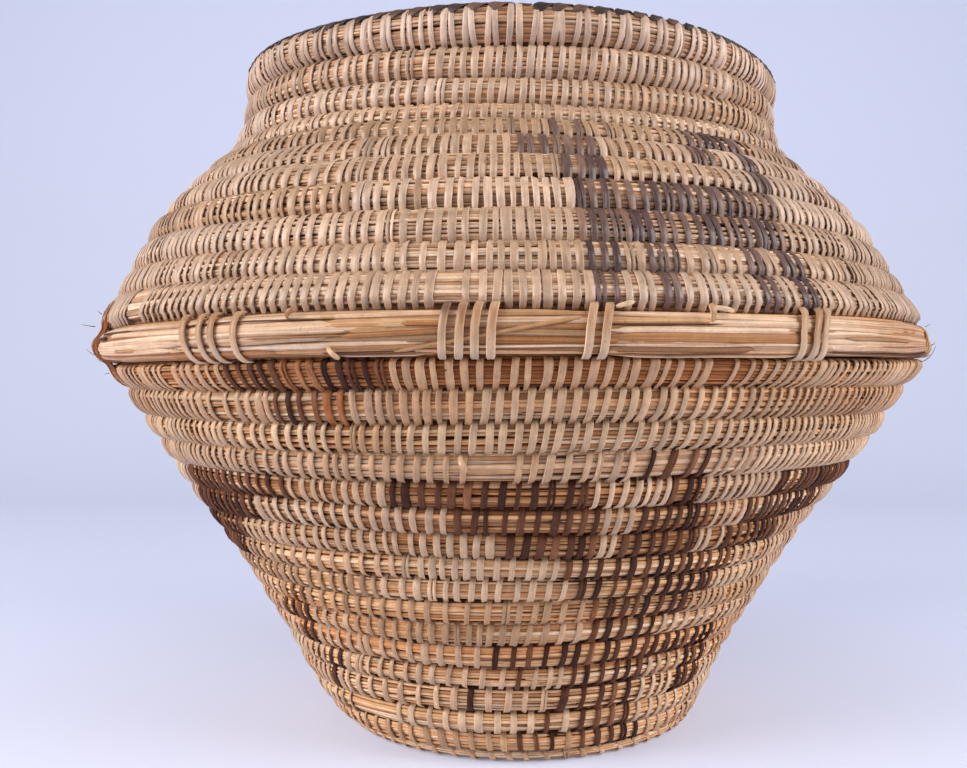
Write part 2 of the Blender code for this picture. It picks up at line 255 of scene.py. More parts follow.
UPPER_FIGURES = (
    ((8.1, 10.8), (14.6, 17.4), (25.6, 28.1), (31.3, 34.2)),
    ((8.0, 11.2), (14.0, 17.3), (24.7, 28.0), (30.6, 34.5)),
    ((7.4, 34.2),),
    ((7.0, 35.3),),
    ((5.9, 13.2), (34.0, 36.5)),
    ((0.3, 12.6), (26.6, 29.7), (35.6, 38.4)),
    ((7.2, 8.3), (10.5, 11.7), (28.1, 40.0)),
    (),
    (),
    (),
)

# Places with no stitches by row number: (first bearing, last bearing)
LOWER_BARE = {1: ((-43.5, -29.5),), 12: ((-4.6, -0.4),), 14: ((-37.9, -36.0),),
              15: ((-43.4, -42.1), (20.9, 22.4))}
UPPER_BARE = {0: ((-7.6, -5.4), (-50.9, -47.3))}

# Stretches of straw that age or the weaver has tinted, and one lit by painted light: rows, first bearing,
# last bearing, factors
TINT_FADE = 4.0
STAINS_AND_LIGHT = {
    "lower_wall": (
        ((15,), -75.0, 75.0, (0.84, 0.68, 0.52)), ((15,), -20.0, 28.0, (0.70, 0.53, 0.40)),
        ((12,), 24.0, 60.0, (1.08, 1.13, 1.20)), ((11,), -40.0, 30.0, (0.66, 0.50, 0.36)),
        ((10,), -30.0, 40.0, (0.76, 0.60, 0.46)), ((9,), -20.0, 40.0, (0.76, 0.62, 0.49)),
        ((11,), -90.0, -45.0, (0.70, 0.54, 0.42)), ((10,), -90.0, -45.0, (0.74, 0.58, 0.46)),
        # Rows 4 to 8 from -85 to -14 are lighter as painted light from the left
        ((9,), -90.0, -50.0, (0.82, 0.68, 0.56)), ((4, 5, 6, 7, 8), -85.0, -14.0, (1.14, 1.14, 1.12)),
    ),
    "rim": (((0,), -6.0, 6.0, (0.80, 0.66, 0.55)),),
}
# How whole rows are tinted, in part by age: row, factors for the stitches, factors for the straws. The
# lowest rows of the lower wall and the base are lighter as painted light from below
ROW_TINTS_AND_LIGHT = {
    "lower_wall": (
        # Rows 0 to 8 are lighter as painted light, for light from below
        (0, (1.12, 1.14, 1.15), (1.48, 1.46, 1.42)), (3, (1.06, 1.10, 1.14), (1.36, 1.34, 1.30)),
        (8, (1.0, 1.02, 1.02), (1.18, 1.15, 1.08)), (9, (0.96, 0.94, 0.92), (1.0, 1.0, 0.97)),
        (10, (1.04, 1.08, 1.14), (1.06, 1.10, 1.12)), (11, (1.04, 1.12, 1.20), (1.06, 1.08, 1.08)),
        (12, (1.03, 1.04, 1.01), (1.0, 0.96, 0.94)), (13, (0.96, 0.95, 0.90), (1.02, 1.0, 0.96)),
        (14, (0.92, 0.88, 0.81), (0.88, 0.81, 0.72)), (15, (0.95, 0.87, 0.75), (1.0, 0.96, 0.90)),
    ),
    # The base is lighter as painted light, for light from below
    "base": ((0, (1.12, 1.14, 1.15), (1.48, 1.46, 1.42)),),
    "upper_wall": (
        (0, (0.98, 0.97, 0.96), (0.96, 0.92, 0.88)), (5, (0.98, 0.97, 0.96), (0.94, 0.91, 0.88)),
        (8, (0.97, 0.97, 0.98), (1.0, 0.96, 0.90)),
    ),
    "rim": ((0, (0.96, 0.97, 1.02), (0.88, 0.79, 0.72)),),
}
UNTINTED_ROWS = ((0, PLAIN_TINT, PLAIN_TINT),)
# The most that any channel of a straw's colour comes to
BRIGHTEST = 0.90
# How the bare ring's straws darken towards its joints: (bearing, factors)
RING_WEATHERING = (
    (-80, PLAIN_TINT), (-65, (0.88, 0.83, 0.79)), (-42, (0.95, 0.92, 0.90)), (-30, PLAIN_TINT),
    (36, PLAIN_TINT), (46, (0.80, 0.68, 0.57)), (65, (0.74, 0.59, 0.47)), (80, PLAIN_TINT),
)

# Broad straws on the front of the bare ring: bearing and height at each end, half width, shade. In mm
RING_STRIPS = (
    (-63, 5.5, -34, 4.8, 1.4, "cream"), (-55, 3.1, -33, 2.6, 1.2, "cream"),
    (-61.5, 0.3, -33, 0.3, 1.4, "pale"), (-63, -1.8, -35, -1.9, 1.4, "pale"),
    (-63, -5.7, -36, -6.1, 1.3, "honey"), (-62, -3.8, -37, -4.0, 1.2, "cream"),
    (-38, 5.2, -16, 5.2, 1.3, "cream"), (-36, 2.4, -16, 2.7, 1.6, "cream"),
    (-36, 0.1, -14, 0.6, 1.2, "cream"), (-38, -2.1, -17, -1.7, 1.2, "pale"),
    (-37, -4.2, -16, -4.0, 1.3, "pale"), (-37, -6.6, -16, -6.7, 1.1, "amber"),
    (-19, 5.4, 0, 5.7, 1.2, "cream"), (-19, 2.7, -1, 3.2, 1.5, "gold"), (-16, 0.2, -4, 0.6, 1.2, "gold"),
    (-19, -2.6, -1, -1.6, 1.5, "grey"), (-19, -4.9, -4, -4.6, 0.8, "gold"),
    (-19, -6.6, -6, -6.5, 1.1, "tan"), (-6, 5.7, 10, 5.8, 1.1, "gold"), (-5, 3.5, 10, 3.4, 1.2, "cream"),
    (-4, 1.3, 10, 1.7, 1.2, "amber"), (-6, -0.7, 10, -0.4, 1.2, "grey"), (-6, -3.0, 11, -2.8, 1.4, "amber"),
    (-8, -5.9, 11, -5.8, 1.5, "tan"), (8, 5.9, 31, 5.3, 1.2, "cream"), (8, 3.7, 20, 3.9, 1.3, "gold"),
    (18, 3.3, 33, 3.1, 1.3, "cream"), (8, 0.7, 31, 1.2, 1.3, "cream"), (8, -1.8, 34, -1.1, 1.7, "amber"),
    (8, -5.3, 25, -5.1, 1.5, "tan"), (23, -4.9, 36, -4.6, 1.3, "honey"), (29, 5.0, 63, 4.2, 1.4, "cream"),
    (30, 2.7, 62, 2.1, 1.4, "cream"), (31, 0.5, 63, 0.1, 1.3, "pale"), (31, -2.2, 62, -2.4, 1.4, "cream"),
    (32, -4.6, 63, -4.4, 1.2, "pale"), (33, -6.4, 62, -6.4, 0.9, "honey"),
)
# Strips that lie over those
RING_OVERLAYS = (
    # The first overlay is painted shade, a dark patch for the cavity at the ring's cut end
    (-57.0, 2.3, -54.6, 2.2, 0.65, "painted_hollow_shade"), (-57.5, 4.4, -46, 4.0, 0.20, "umber"),
    (-52.5, -2.6, -46, -2.9, 0.6, "gold"), (-57.5, -6.0, -52, -6.1, 0.25, "umber"),
    (-27, -1.3, -15, -0.8, 0.35, "amber"), (-10.2, 2.2, -6.0, 2.3, 0.9, "amber"),
    (-16.5, -1.2, -5.5, 0.1, 0.8, "amber"), (-18.5, -5.9, -9, -6.0, 0.35, "umber"),
    (-17, -6.7, -8, -6.7, 0.5, "pale"), (-6.5, -4.5, 9.5, -4.3, 0.45, "cream"),
    (8, -3.9, 32, -3.2, 0.45, "pale"), (9, -6.9, 31, -6.4, 0.4, "cream"),
    (36.5, -0.7, 52, -1.2, 0.7, "gold"), (33, -5.6, 61, -5.9, 0.22, "umber"),
    (-36, 3.9, -17, 4.1, 0.18, "umber"), (-36, -3.1, -17, -2.8, 0.16, "umber"),
    (8.5, 2.2, 21, 2.5, 0.16, "umber"), (-12.5, -6.9, 7.4, 4.7, 0.75, "gold"),
)
# Ties over the ring: bearing at the top, the middle and the foot. The rear ring has the same
RING_TIES = (
    (-35.8, -35.3, -35.0), (-33.1, -32.8, -32.9), (-31.4, -31.1, -31.0), (-28.1, -28.1, -28.1),
    (-6.0, -6.3, -6.6), (-4.5, -4.7, -5.1), (-3.0, -3.3, -3.5), (-1.5, -1.8, -2.0),
    (7.8, 7.2, 7.0), (9.3, 8.7, 8.5),
    (30.8, 29.9, 30.0), (33.0, 31.7, 31.5), (34.3, 32.9, 33.0),
)
TIE_HALF_WIDTH = 0.00125
TIE_WIDTH_SHARES = (0.92, 1.08)
TIE_STATIONS = 17
TIE_END_SHARE = 0.7
TIE_FOOT = 100.0
TIE_GROWTH = 0.0008
# The ties fall into three groups, which end before these numbers. Each group has its own reach over the
# top, in degrees, and its own rise there, in mm
TIE_GROUPS = (4, 10)
TIE_REACHES = (95.0, 104.0, 104.0)
TIE_RISES = (0.0, 1.5, 1.3)
TIE_RISE_START = 45.0
TIE_RISE_ROOM = 50.0
TIE_SINK_SHARE = 0.6
# Where the brown of a tie's middle is strongest, as a share of a quarter turn up, and how it fades
TIE_BROWN_PLACE = 0.35
TIE_BROWN_PEAK = 1.15
TIE_BROWN_FALL = 1.5
TIE_BROWNING = (0.55, 1.0)
TIE_TONE_SPREAD = 0.08
# Ties that are dark towards the top, by number, and how much
STAINED_TIES = {4: 1.0, 5: 0.5}
STAIN_START = 0.25
STAIN_RISE = 3.0
STAIN_MOST = 0.8
# Loose ends of splint: bearing and height at each end, radius, half width, shade
STUBS = (
    (-22.1, 0.1638, -20.9, 0.1664, 0.1762, 0.0009, "tan"),
    (-17.5, 0.1548, -16.2, 0.1512, 0.1770, 0.0008, "honey"),
    (18.6, 0.1676, 18.9, 0.1622, 0.1774, 0.0010, "gold"),
    (9.7, 0.1664, 11.3, 0.1678, 0.1745, 0.0007, "cream"),
    (19.4, 0.1668, 21.6, 0.1656, 0.1745, 0.0007, "cream"),
    (-6.1, 0.1222, -5.2, 0.1180, 0.1545, 0.0009, "honey"),
)
STUB_ARCH = 0.0012
STUB_ROOT_SINK = 0.0010
STUB_TWIST = 12.0
STUB_END_SHARE = 0.55
STUB_WIDENING = 3.0
SHORT_STATIONS = 9

# Stitches: how they lean, and how far chance moves them
STITCH_HALF_WIDTH = 0.00108
UPPER_STITCH_HALF_WIDTH = 0.00118
RIM_STITCH_HALF_WIDTH = 0.00110
STITCH_THICKNESS = 0.00044
TIE_THICKNESS = 1.3 * STITCH_THICKNESS
LOWER_LEANS = (0.0017,)
UPPER_LEANS = (0.0002,)
RIM_LEANS = (0.0013, -0.0010)
UPRIGHT = (0.0,)
PLACE_JITTER = 0.00042
WIDTH_SPREAD = 0.13
TWIST_SPREAD = 9.0
BOW_SPREAD = 0.00028
WIDTH_WOBBLE = 0.035
THICKNESS_SHARES = (0.8, 1.15)
STITCH_LIFTS = (-0.00004, 0.00020)
# The ends of stitches darken, partly with dirt and partly as painted shade where they go into the coil
END_GRIME_AND_SHADE = (0.04, 0.42)
SCATTERED_GRIME = (0.0, 0.10)
# Split stitches: the side and width of their two strands, and how these part
SPLIT_CHANCE = 0.04
DARK_SPLIT_CHANCE = 0.22
SPLIT_STRANDS = ((-1.0, 0.54), (1.0, 0.44))
SPLIT_OFFSET_SHARE = 0.56
SPLIT_OFFSET_SPREAD = 0.05
SPLIT_TOP_SHARE = 0.85
SPLIT_TONE_SPREAD = 0.22
# A coil's pieces run on past both of its ends by this
END_TURNS = 0.1

# The path of a stitch over the outside of its row: (section angle, growth, share of the way down, width)
OUTER_PATH = (
    (92.0, -0.0006, 0.00, 0.80),
    (76.0, 0.0000, 0.06, 0.92),
    (58.0, 0.0001, 0.16, 1.00),
    (38.0, 0.0001, 0.28, 1.03),
    (18.0, 0.0001, 0.40, 1.04),
    (-2.0, 0.0001, 0.52, 1.04),
    (-22.0, 0.0002, 0.64, 1.03),
    (-42.0, 0.0003, 0.77, 1.00),
    (-58.0, 0.0004, 0.87, 0.98),
    (-67.0, 0.0011, 0.93, 0.95),
    (-75.0, 0.0018, 0.98, 0.82),
    (-79.0, 0.0020, 1.00, 0.45),
)
INNER_PATH = (
    (92.0, -0.0006, 0.00, 0.80),
    (112.0, 0.0001, 0.08, 0.95),
    (140.0, 0.0003, 0.28, 1.00),
    (168.0, 0.0003, 0.46, 1.00),
    (196.0, 0.0003, 0.64, 1.00),
    (224.0, 0.0003, 0.82, 1.00),
    (246.0, 0.0010, 0.94, 0.85),
    (256.0, 0.0019, 1.00, 0.50),
)
# The outermost row of the base shows from the side, so its stitches start further round
EDGE_PATH = ((150.0, -0.0004, 0.00, 0.90), (120.0, 0.0001, 0.04, 1.00)) + tuple(
    (angle, growth, 0.08 + 0.92 * share, width) for angle, growth, share, width in OUTER_PATH
)

# Sections of strips as shares (across, height), from edge to edge over the top and back underneath
SPLINT_PROFILE = ((-1.0, 0.15), (-0.8, 0.95), (0.0, 0.82), (0.8, 0.95), (1.0, 0.15), (0.7, -0.45),
                  (-0.7, -0.45))
PLAIN_PROFILE = ((-1.0, 0.1), (0.0, 1.0), (1.0, 0.1), (0.0, -0.4))
FLAT_PROFILE = ((-1.0, 0.0), (-0.85, 0.6), (-0.3, 1.0), (0.35, 0.9), (0.85, 0.6), (1.0, 0.0), (0.8, -0.7),
                (-0.8, -0.7))
ROUND_PROFILE = tuple((-math.cos(math.radians(60 * k)), math.sin(math.radians(60 * k))) for k in range(6))

# Straws: how far apart their lines lie round a coil, and how they vary
OUTER_STRAW_SPAN = (-84.0, 97.0)
INNER_STRAW_SPAN = (110.0, 250.0)
STRAW_SPACING = 0.00128
INNER_STRAW_SPACING = 0.0024
STRAW_HALF_WIDTH = 0.00076
STRAW_HALF_THICKNESS = 0.00070
STRAW_TONE_SPREAD = 0.20
STRAW_LENGTHS = (0.12, 0.27)
STRAW_STATIONS = 27
LINE_SAMPLES = 181
FIRST_STRAW_TURNS = 0.1
LEAST_STRAW_TURNS = 0.01
STRAW_OVERLAP_SHARE = 0.93
STRAW_WIDTH_SPREAD = 0.18
LINE_SPREAD = 1.6
SINK_SPREAD = (-0.0002, 0.0003)
# The room and the least share of a strip's tapering ends
STRAW_TAPER = (0.05, 0.25)
STRIP_TAPER = (0.12, 0.12)
STRAND_TAPER = (0.08, 0.2)
# Waves as (size, pace): a straw's in degrees and in depth, and a ring strip's in mm
STRAW_WANDERS = ((1.8, 21), (1.1, 53))
STRAW_DIPS = ((0.00016, 37), (0.00010, 83))
STRIP_WAVES = ((0.15, 0.2), (0.08, 0.5))
STRAW_SINK = 0.0008
FADED_STRAW_SINK = 0.0006
CORE_SINK = 0.0018
CORE_SIDES = 12
CORE_STEP = 0.008
STRIP_STATIONS = 33
STRIP_SINK = 0.0009
STRIP_LIFT = 0.0003
STRIP_TONE_SPREAD = 0.06
# The two layers of straws in the bare ring: name, half width, spacing, first angle and depth
RING_LAYERS = (("a", 0.0013, 0.0021, 0.0, 0.0016), ("b", 0.0017, 0.0027, 5.0, 0.0011))
RING_STRAW_LENGTHS = (0.16, 0.38)
OVERLAY_GROWTH = -0.0003

# The dark braid that runs over the top of the rim, and the place where it has worn away
BRAID_PITCH = 0.0074
BRAID_ADVANCE = 0.0105
BRAID_HALF_WIDTH = 0.0021
BRAID_OUTER_ANGLES = (28.0, 124.0)
BRAID_INNER_ANGLES = (152.0, 62.0)
BRAID_GROWTHS = (0.0002, 0.0006, 0.0006, 0.0005, 0.0004, 0.0003, 0.0001, -0.0004)
BRAID_STATIONS = 15
BRAID_GAP = (-1.4, 2.6)
BRAID_PLACE_SPREAD = 0.05
BRAID_ADVANCE_SPREAD = 0.06
BRAID_ANGLE_SPREAD = 3.0
BRAID_WIDTH_SPREAD = 0.1
BRAID_ROUNDING = 3.0
BRAID_END_SHARE = 0.06

# The packing behind the ring, which closes the wall between the rows above and below it
SEAT_RADIUS = 0.1692
SEAT_DEPTH = 0.0112
SEAT_HALF_HEIGHT = 0.0112
SEAT_SPAN = (-100.0, 100.0)
SEAT_STRAW_HALF_WIDTH = 0.0013

# Bark at the ring's joints
STRAP_HALF_WIDTH = 0.0075
STRAP_STRANDS = 23
STRAP_STRAND_HALF_WIDTH = 0.0006
STRAP_GROWTH = -0.0006
STRAP_WALL_GROWTH = 0.0003
STRAP_SMOOTHINGS = 5
# Its way over the row above, the ring and the row below: first and last section angle, and stations
STRAP_PARTS = ((20.0, -64.0, 8), (66.0, -66.0, 12), (60.0, -80.0, 10))
WRAP_HALF_WIDTH = 0.0058
WRAP_STRANDS = 13
WRAP_STRAND_HALF_WIDTH = 0.0008
WRAP_GROWTH = -0.0006
WRAP_REACH = 112.0
WRAP_STATIONS = 25
STRAND_THICKNESS = 0.0005
STRAND_WIDTH_SHARES = (0.7, 1.2)
STRAND_TONE_SPREAD = 0.2
STRAND_WAVER = 0.22
STRAND_WAVER_PACES = (5, 14)
STRAND_LIFTS = (0.0002, 0.0005)
STRAND_LIFT_PACES = (6, 20)
# Stray hairs of bark: bearing, radius, height, then how far out, up and along they reach, in mm
HAIRS = (
    (-61.0, 0.1756, 0.1668, 4.6, 0.6, 0.0), (-61.0, 0.1764, 0.1555, 3.0, 2.6, 0.0),
    (-61.5, 0.1732, 0.1712, 1.6, 1.0, 0.4), (-61.5, 0.1722, 0.1480, 1.8, -0.6, 0.3),
    (61.0, 0.1712, 0.1506, 7.0, 6.0, 0.5), (62.5, 0.1764, 0.1570, 1.6, 1.0, 0.3),
    (61.0, 0.1752, 0.1640, 1.5, 1.2, 0.4),
)
HAIR_HALF_WIDTH = 0.00016
HAIR_WIDTH_SHARES = (1.1, 0.4)
HAIR_BEND = 1.7

TRIANGLES_PER_PIECE = 150_000


def smooth_share(knots, x):
    """Read a smooth curve through the knots, which are pairs of rising x and y."""
    last = len(knots) - 1
    slopes = []
    for k in range(last + 1):
        before = knots[max(k - 1, 0)]
        after = knots[min(k + 1, last)]
        slopes.append((after[1] - before[1]) / (after[0] - before[0]))
    k = 0
    while k < last - 1 and x > knots[k + 1][0]:
        k += 1
    width = knots[k + 1][0] - knots[k][0]
    t = (x - knots[k][0]) / width
    rise = knots[k + 1][1] - knots[k][1]
    start = slopes[k] * width
    end = slopes[k + 1] * width
    return knots[k][1] + start * t + (3 * rise - 2 * start - end) * t * t + (start + end - 2 * rise) * t ** 3


def unit(vectors):
    """Vectors of length one along the last axis."""
    return vectors / np.maximum(np.linalg.norm(vectors, axis=-1, keepdims=True), TINY)


def wall_outline(foot, top, wall_shares, row_shares, belly_row=None):
    """Return a function that gives the wall's outer point, and the way through the wall, some rows up."""
    edges = np.concatenate([[0.0], np.cumsum(row_shares) / sum(row_shares)])

    def point(rows_up):
        height_share = np.interp(rows_up, np.arange(len(edges)), edges)
        if rows_up < 0 or rows_up > len(row_shares):
            end = 0 if rows_up < 0 else -2
            start = 0 if rows_up < 0 else len(row_shares) - 1
            height_share = edges[end] + (edges[end + 1] - edges[end]) * (rows_up - start)
        radius_share = smooth_share(wall_shares, height_share)
        return np.array(foot) + np.subtract(top, foot) * np.array([radius_share, height_share])

    def edge(rows_up):
        climb = point(rows_up + SLOPE_STEP) - point(rows_up - SLOPE_STEP)
        inward = unit(np.array([-climb[1], climb[0]]))
        if belly_row is not None:
            levelled = max(0.0, 1.0 - abs(rows_up - belly_row) / LEVELLING_ROWS)
            inward = unit(inward * (1 - levelled) + np.array([-1.0, 0.0]) * levelled)
        return point(rows_up), inward

    return edge


def base_outline(inner_radius, outer_radius, rows):
    """Return a function that gives the underside's (radius, 0), and the way up, some rows out."""
    pitch = (outer_radius - inner_radius) / rows

    def edge(rows_out):
        return np.array([inner_radius + pitch * rows_out, 0.0]), np.array([0.0, 1.0])

    return edge


def ring_outline(outer_radius, middle_height, half_height):
    """Return a function that gives a level ring's lower and upper edges."""

    def edge(rows_up):
        height = middle_height + half_height * (2 * rows_up - 1)
        return np.array([outer_radius, height]), np.array([-1.0, 0.0])

    return edge


# What a coil is dressed in: its tones, its usual dye and that dye's material, and the depth of its straws
Look = namedtuple("Look", "straw_tones splint_tones dye dyed_material straw_sink")


@dataclass
class Coil:
    """One coil: gives places on its section at any turn, counted from the back.

    The skin moves its surface out, the cores of joined rows reach the next row, the stitches of the edge
    row start further round, and slimming thins it towards the ring's joints.
    """

    name: str
    node: str
    outline: object
    rows: int
    depth: float
    skin: float = 0.0
    climbs: bool = True
    edge_row: int = None
    slimming: float = 0.0
    joined_rows: int = 0
    crowded: bool = False

    def __post_init__(self):
        self.steps = np.arange(0.0, self.rows + TABLE_STEP / 2, TABLE_STEP)
        self.table = np.array([np.concatenate(self.outline(step)) for step in self.steps])

    def edge(self, rows_up):
        """Radius, height and way in of the wall's outline so many rows up."""
        inside = np.clip(rows_up, 0.0, self.rows)
        return np.stack([np.interp(inside, self.steps, column) for column in self.table.T], axis=-1)

    def rows_climbed(self, turns):
        """Rows below the coil's lower edge: level, with a climb at each whole turn."""
        if not self.climbs:
            return np.zeros_like(turns)
        nearest = np.round(turns)
        return nearest - 0.5 + np.clip((turns - nearest) / CLIMB_SHARE, -0.5, 0.5)

    def section(self, turns):
        """Middle, way out, way up and half height of the coil's section."""
        climbed = self.rows_climbed(turns)
        low = self.edge(climbed)
        high = self.edge(climbed + 1.0)
        inward = unit(low[..., 2:] + high[..., 2:])
        middle = (low[..., :2] + high[..., :2]) / 2 + inward * self.depth / 2
        rise = high[..., :2] - low[..., :2]
        to_joint = np.abs(np.abs(bearing_of(turns)) - JOINT_BEARING)
        slim = 1.0 - self.slimming * np.clip(1.0 - to_joint / JOINT_REACH, 0.0, 1.0) ** 2
        return middle, -inward, unit(rise), np.linalg.norm(rise, axis=-1) / 2 * slim

    def places(self, turns, angle, growth):
        """Points on the section grown by some distance, and the normals there, for arrays that broadcast."""
        turns, angle, growth = np.broadcast_arrays(turns, np.radians(angle), growth + self.skin)
        middle, out, up, half_height = self.section(turns)
        cos, sin = np.cos(angle), np.sin(angle)
        across = self.depth / 2 * np.sign(cos) * np.abs(cos) ** ROUNDNESS + growth * cos
        along = half_height * np.sign(sin) * np.abs(sin) ** ROUNDNESS + growth * sin
        flat = middle + out * across[..., None] + up * along[..., None]
        normal = unit(out * cos[..., None] + up * sin[..., None])
        heading = np.radians(QUARTER_TURN + FULL_TURN * turns)
        return turned(flat, heading), turned(normal, heading)

    def girth(self, row):
        """Length once round the outside of a row."""
        return math.tau * self.edge(row + 0.5)[..., 0]


def turned(flat, heading):
    """Turn (radius, height) pairs round the basket's axis."""
    return np.stack([flat[..., 0] * np.cos(heading), flat[..., 0] * np.sin(heading), flat[..., 1]], axis=-1)


def turns_at(bearing):
    """Turns from the back at a bearing."""
    return FRONT_TURNS + bearing / FULL_TURN


# How the old basket has settled, by height: how far it is raised, swelled and shifted sideways, in mm
SETTLING = (
    (0.0, 0.0, 1.0, 3.6), (0.0095, -3.5, 1.1, 1.7), (0.0182, -3.0, 0.9, 0.4), (0.0274, -3.1, -0.6, -0.2),
    (0.0376, -3.4, -2.3, -0.3), (0.0462, -3.3, -3.7, -0.2), (0.0549, -2.5, -3.0, -0.2),
    (0.0628, -1.9, -2.1, 0.0), (0.0724, -2.4, -2.2, 0.2), (0.0804, -1.8, -1.5, 0.3),
    (0.0966, -1.5, -1.5, 0.2), (0.1134, -0.6, -0.8, 0.1), (0.1222, 0.3, -0.3, 0.6),
    (0.1310, 0.6, -0.6, 0.9), (0.1409, 1.3, -0.9, 0.8), (0.1512, 0.0, -0.2, 0.2), (0.1593, 0.0, 0.4, 0.0),
    (0.1640, 0.0, 0.3, 0.2), (0.1682, 0.0, 1.4, 0.3), (0.1742, 0.0, 0.0, 0.3), (0.1820, 0.0, -1.3, 0.2),
    (0.1980, 0.0, -1.1, -0.4), (0.2060, 0.0, -0.2, -0.9), (0.2220, 0.0, -0.7, -1.2),
    (0.2300, 0.2, -1.6, -1.8), (0.2380, 0.3, -2.4, -1.5), (0.2460, 0.4, -1.8, -1.0),
    (0.2599, 0.6, -1.4, 0.1), (0.2760, -0.9, -1.1, 0.4),
)
AXIS_ROOM = 0.06
FOOT_ROOM = 0.02
NECK_TILT = 0.011
NECK_SADDLE = 0.0005
# How far the left and right sides are raised, and how far they are swelled, by height, in mm
SIDE_MOVES = (
    (0.1050, 0.0, 0.0, 0.0, 0.0), (0.1222, -0.6, 0.6, -0.7, 1.6), (0.1310, -0.9, 0.9, -0.9, 0.4),
    (0.1409, -0.9, 1.0, -1.1, 1.9), (0.1512, -0.8, 1.0, -1.7, 2.0), (0.1593, -1.4, 0.5, -0.2, -1.2),
    (0.1660, -2.0, 0.1, 0.0, 0.0), (0.1850, -0.9, -0.9, 0.0, 0.0), (0.2150, 0.0, 0.0, 0.0, 0.0),
)
SIDE_RADIUS = 0.16
TILT_START = 0.17
TILT_ROOM = 0.1
LOWEST_POINT = 0.0002
# Waves round the basket: how many, their size, how they turn with height, and their start
WAVES = ((3, 0.00055, 66.0, 0.4), (5, 0.00035, 138.0, 2.1), (8, 0.00020, 246.0, 4.4))
ROW_WAVE = (4, 0.0004, 90.0, 1.0)


def settle(points):
    """Move points as the whole basket has sagged with age."""
    x, y, z = points[..., 0], points[..., 1], points[..., 2]
    heading = np.arctan2(y, x)
    radius = np.maximum(np.hypot(x, y), TINY)
    off_floor = np.clip(z / FOOT_ROOM, 0.0, 1.0)
    tilted = np.clip((z - TILT_START) / TILT_ROOM, 0.0, 1.0)
    heights, raised, swelled, shifted = np.array(SETTLING).T
    swell = sum(size * np.sin(count * heading + z * turn + phase) for count, size, turn, phase in WAVES)
    swell = swell * off_floor
    swell = swell + np.interp(z, heights, swelled) * MILLIMETRE * np.clip(radius / AXIS_ROOM, 0.0, 1.0)
    moved = points.copy()
    moved[..., 0] += np.interp(z, heights, shifted) * MILLIMETRE + swell * x / radius
    moved[..., 1] += swell * y / radius
    moved[..., 2] += np.interp(z, heights, raised) * MILLIMETRE
    moved[..., 2] += -x * NECK_TILT * tilted - NECK_SADDLE * np.sin(3 * heading) * tilted
    levels, left_raised, right_raised, left_swelled, right_swelled = np.array(SIDE_MOVES).T
    for side, raised, swelled in ((-1, left_raised, left_swelled), (1, right_raised, right_swelled)):
        aside = np.clip(side * x / SIDE_RADIUS, 0.0, 1.0)
        moved[..., 2] += np.interp(z, levels, raised) * MILLIMETRE * aside
        moved[..., 0] += side * np.interp(z, levels, swelled) * MILLIMETRE * aside ** 2
    count, size, turn, phase = ROW_WAVE
    moved[..., 2] += off_floor * size * np.sin(count * heading + z * turn + phase)
    moved[..., 2] = np.maximum(moved[..., 2], LOWEST_POINT)
    return moved


def pick_tones(rng, tones, chances, count, spread=TONE_SPREAD):
    """Draw colours from a palette, each a little lighter or darker."""
    picked = np.array(tones)[rng.choice(len(tones), count, p=np.array(chances) / sum(chances))]
    return picked * np.exp(rng.normal(0.0, spread, (count, 1)))


def run_tones(rng, tones, chances, count):
    """Draw colours for stitches in order: a splint makes a run of stitches of nearly one colour."""
    runs = np.cumsum(rng.uniform(size=count) < 1.0 / RUN_STITCHES)
    picked = pick_tones(rng, tones, chances, int(runs[-1]) + 1, RUN_SPREAD)[runs]
    return picked * np.exp(rng.normal(0.0, RUN_SPREAD, (count, 1)))


class Ribbons:
    """Strips that share a section profile, gathered to become meshes."""

    def __init__(self, profile):
        self.profile = np.array(profile)
        self.top = max(1, int(np.argmax(self.profile[:, 0])))
        self.groups = []

    def add(self, centres, normals, half_widths, thicknesses, tones, seeds):
        """Add strips: centres and normals are (strips, stations, 3), and tones broadcast to them."""
        count, stations = centres.shape[:2]
        run = unit(np.gradient(centres, axis=1))
        side = unit(np.cross(run, normals))
        half_widths = np.broadcast_to(half_widths, (count, stations))
        thicknesses = np.broadcast_to(thicknesses, (count, stations))
        across = side[:, :, None] * (half_widths[:, :, None] * self.profile[:, 0])[..., None]
        height = normals[:, :, None] * (thicknesses[:, :, None] * self.profile[:, 1])[..., None]
        points = settle(centres[:, :, None] + across + height)
        steps = np.linalg.norm(np.diff(centres, axis=1), axis=-1)
        lengths = np.concatenate([np.zeros((count, 1)), np.cumsum(steps, axis=1)], axis=1)
        tones = np.broadcast_to(tones, (count, stations, 3))
        self.groups.append((points, lengths, tones, np.broadcast_to(seeds, count)))

    def make(self, name, material, nodes, slot):
        """Make the pieces, each with no more faces than an export keeps whole."""
        number = 0
        by_stations = {}
        for group in self.groups:
            by_stations.setdefault(group[0].shape[1], []).append(group)
        for groups in by_stations.values():
            columns = [np.concatenate(column) for column in zip(*groups)]
            count, stations, corners = columns[0].shape[:3]
            each = 2 * (stations - 1) * corners + 2 * (corners - 2)
            most = max(1, TRIANGLES_PER_PIECE // each)
            for share in np.array_split(np.arange(count), math.ceil(count / most)):
                number += 1
                strips = [column[share] for column in columns]
                piece = ribbon_piece(f"{name}_{number:02d}", *strips, self.top)
                piece.data.materials.append(material)
                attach(piece, "root")
                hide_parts(*nodes)


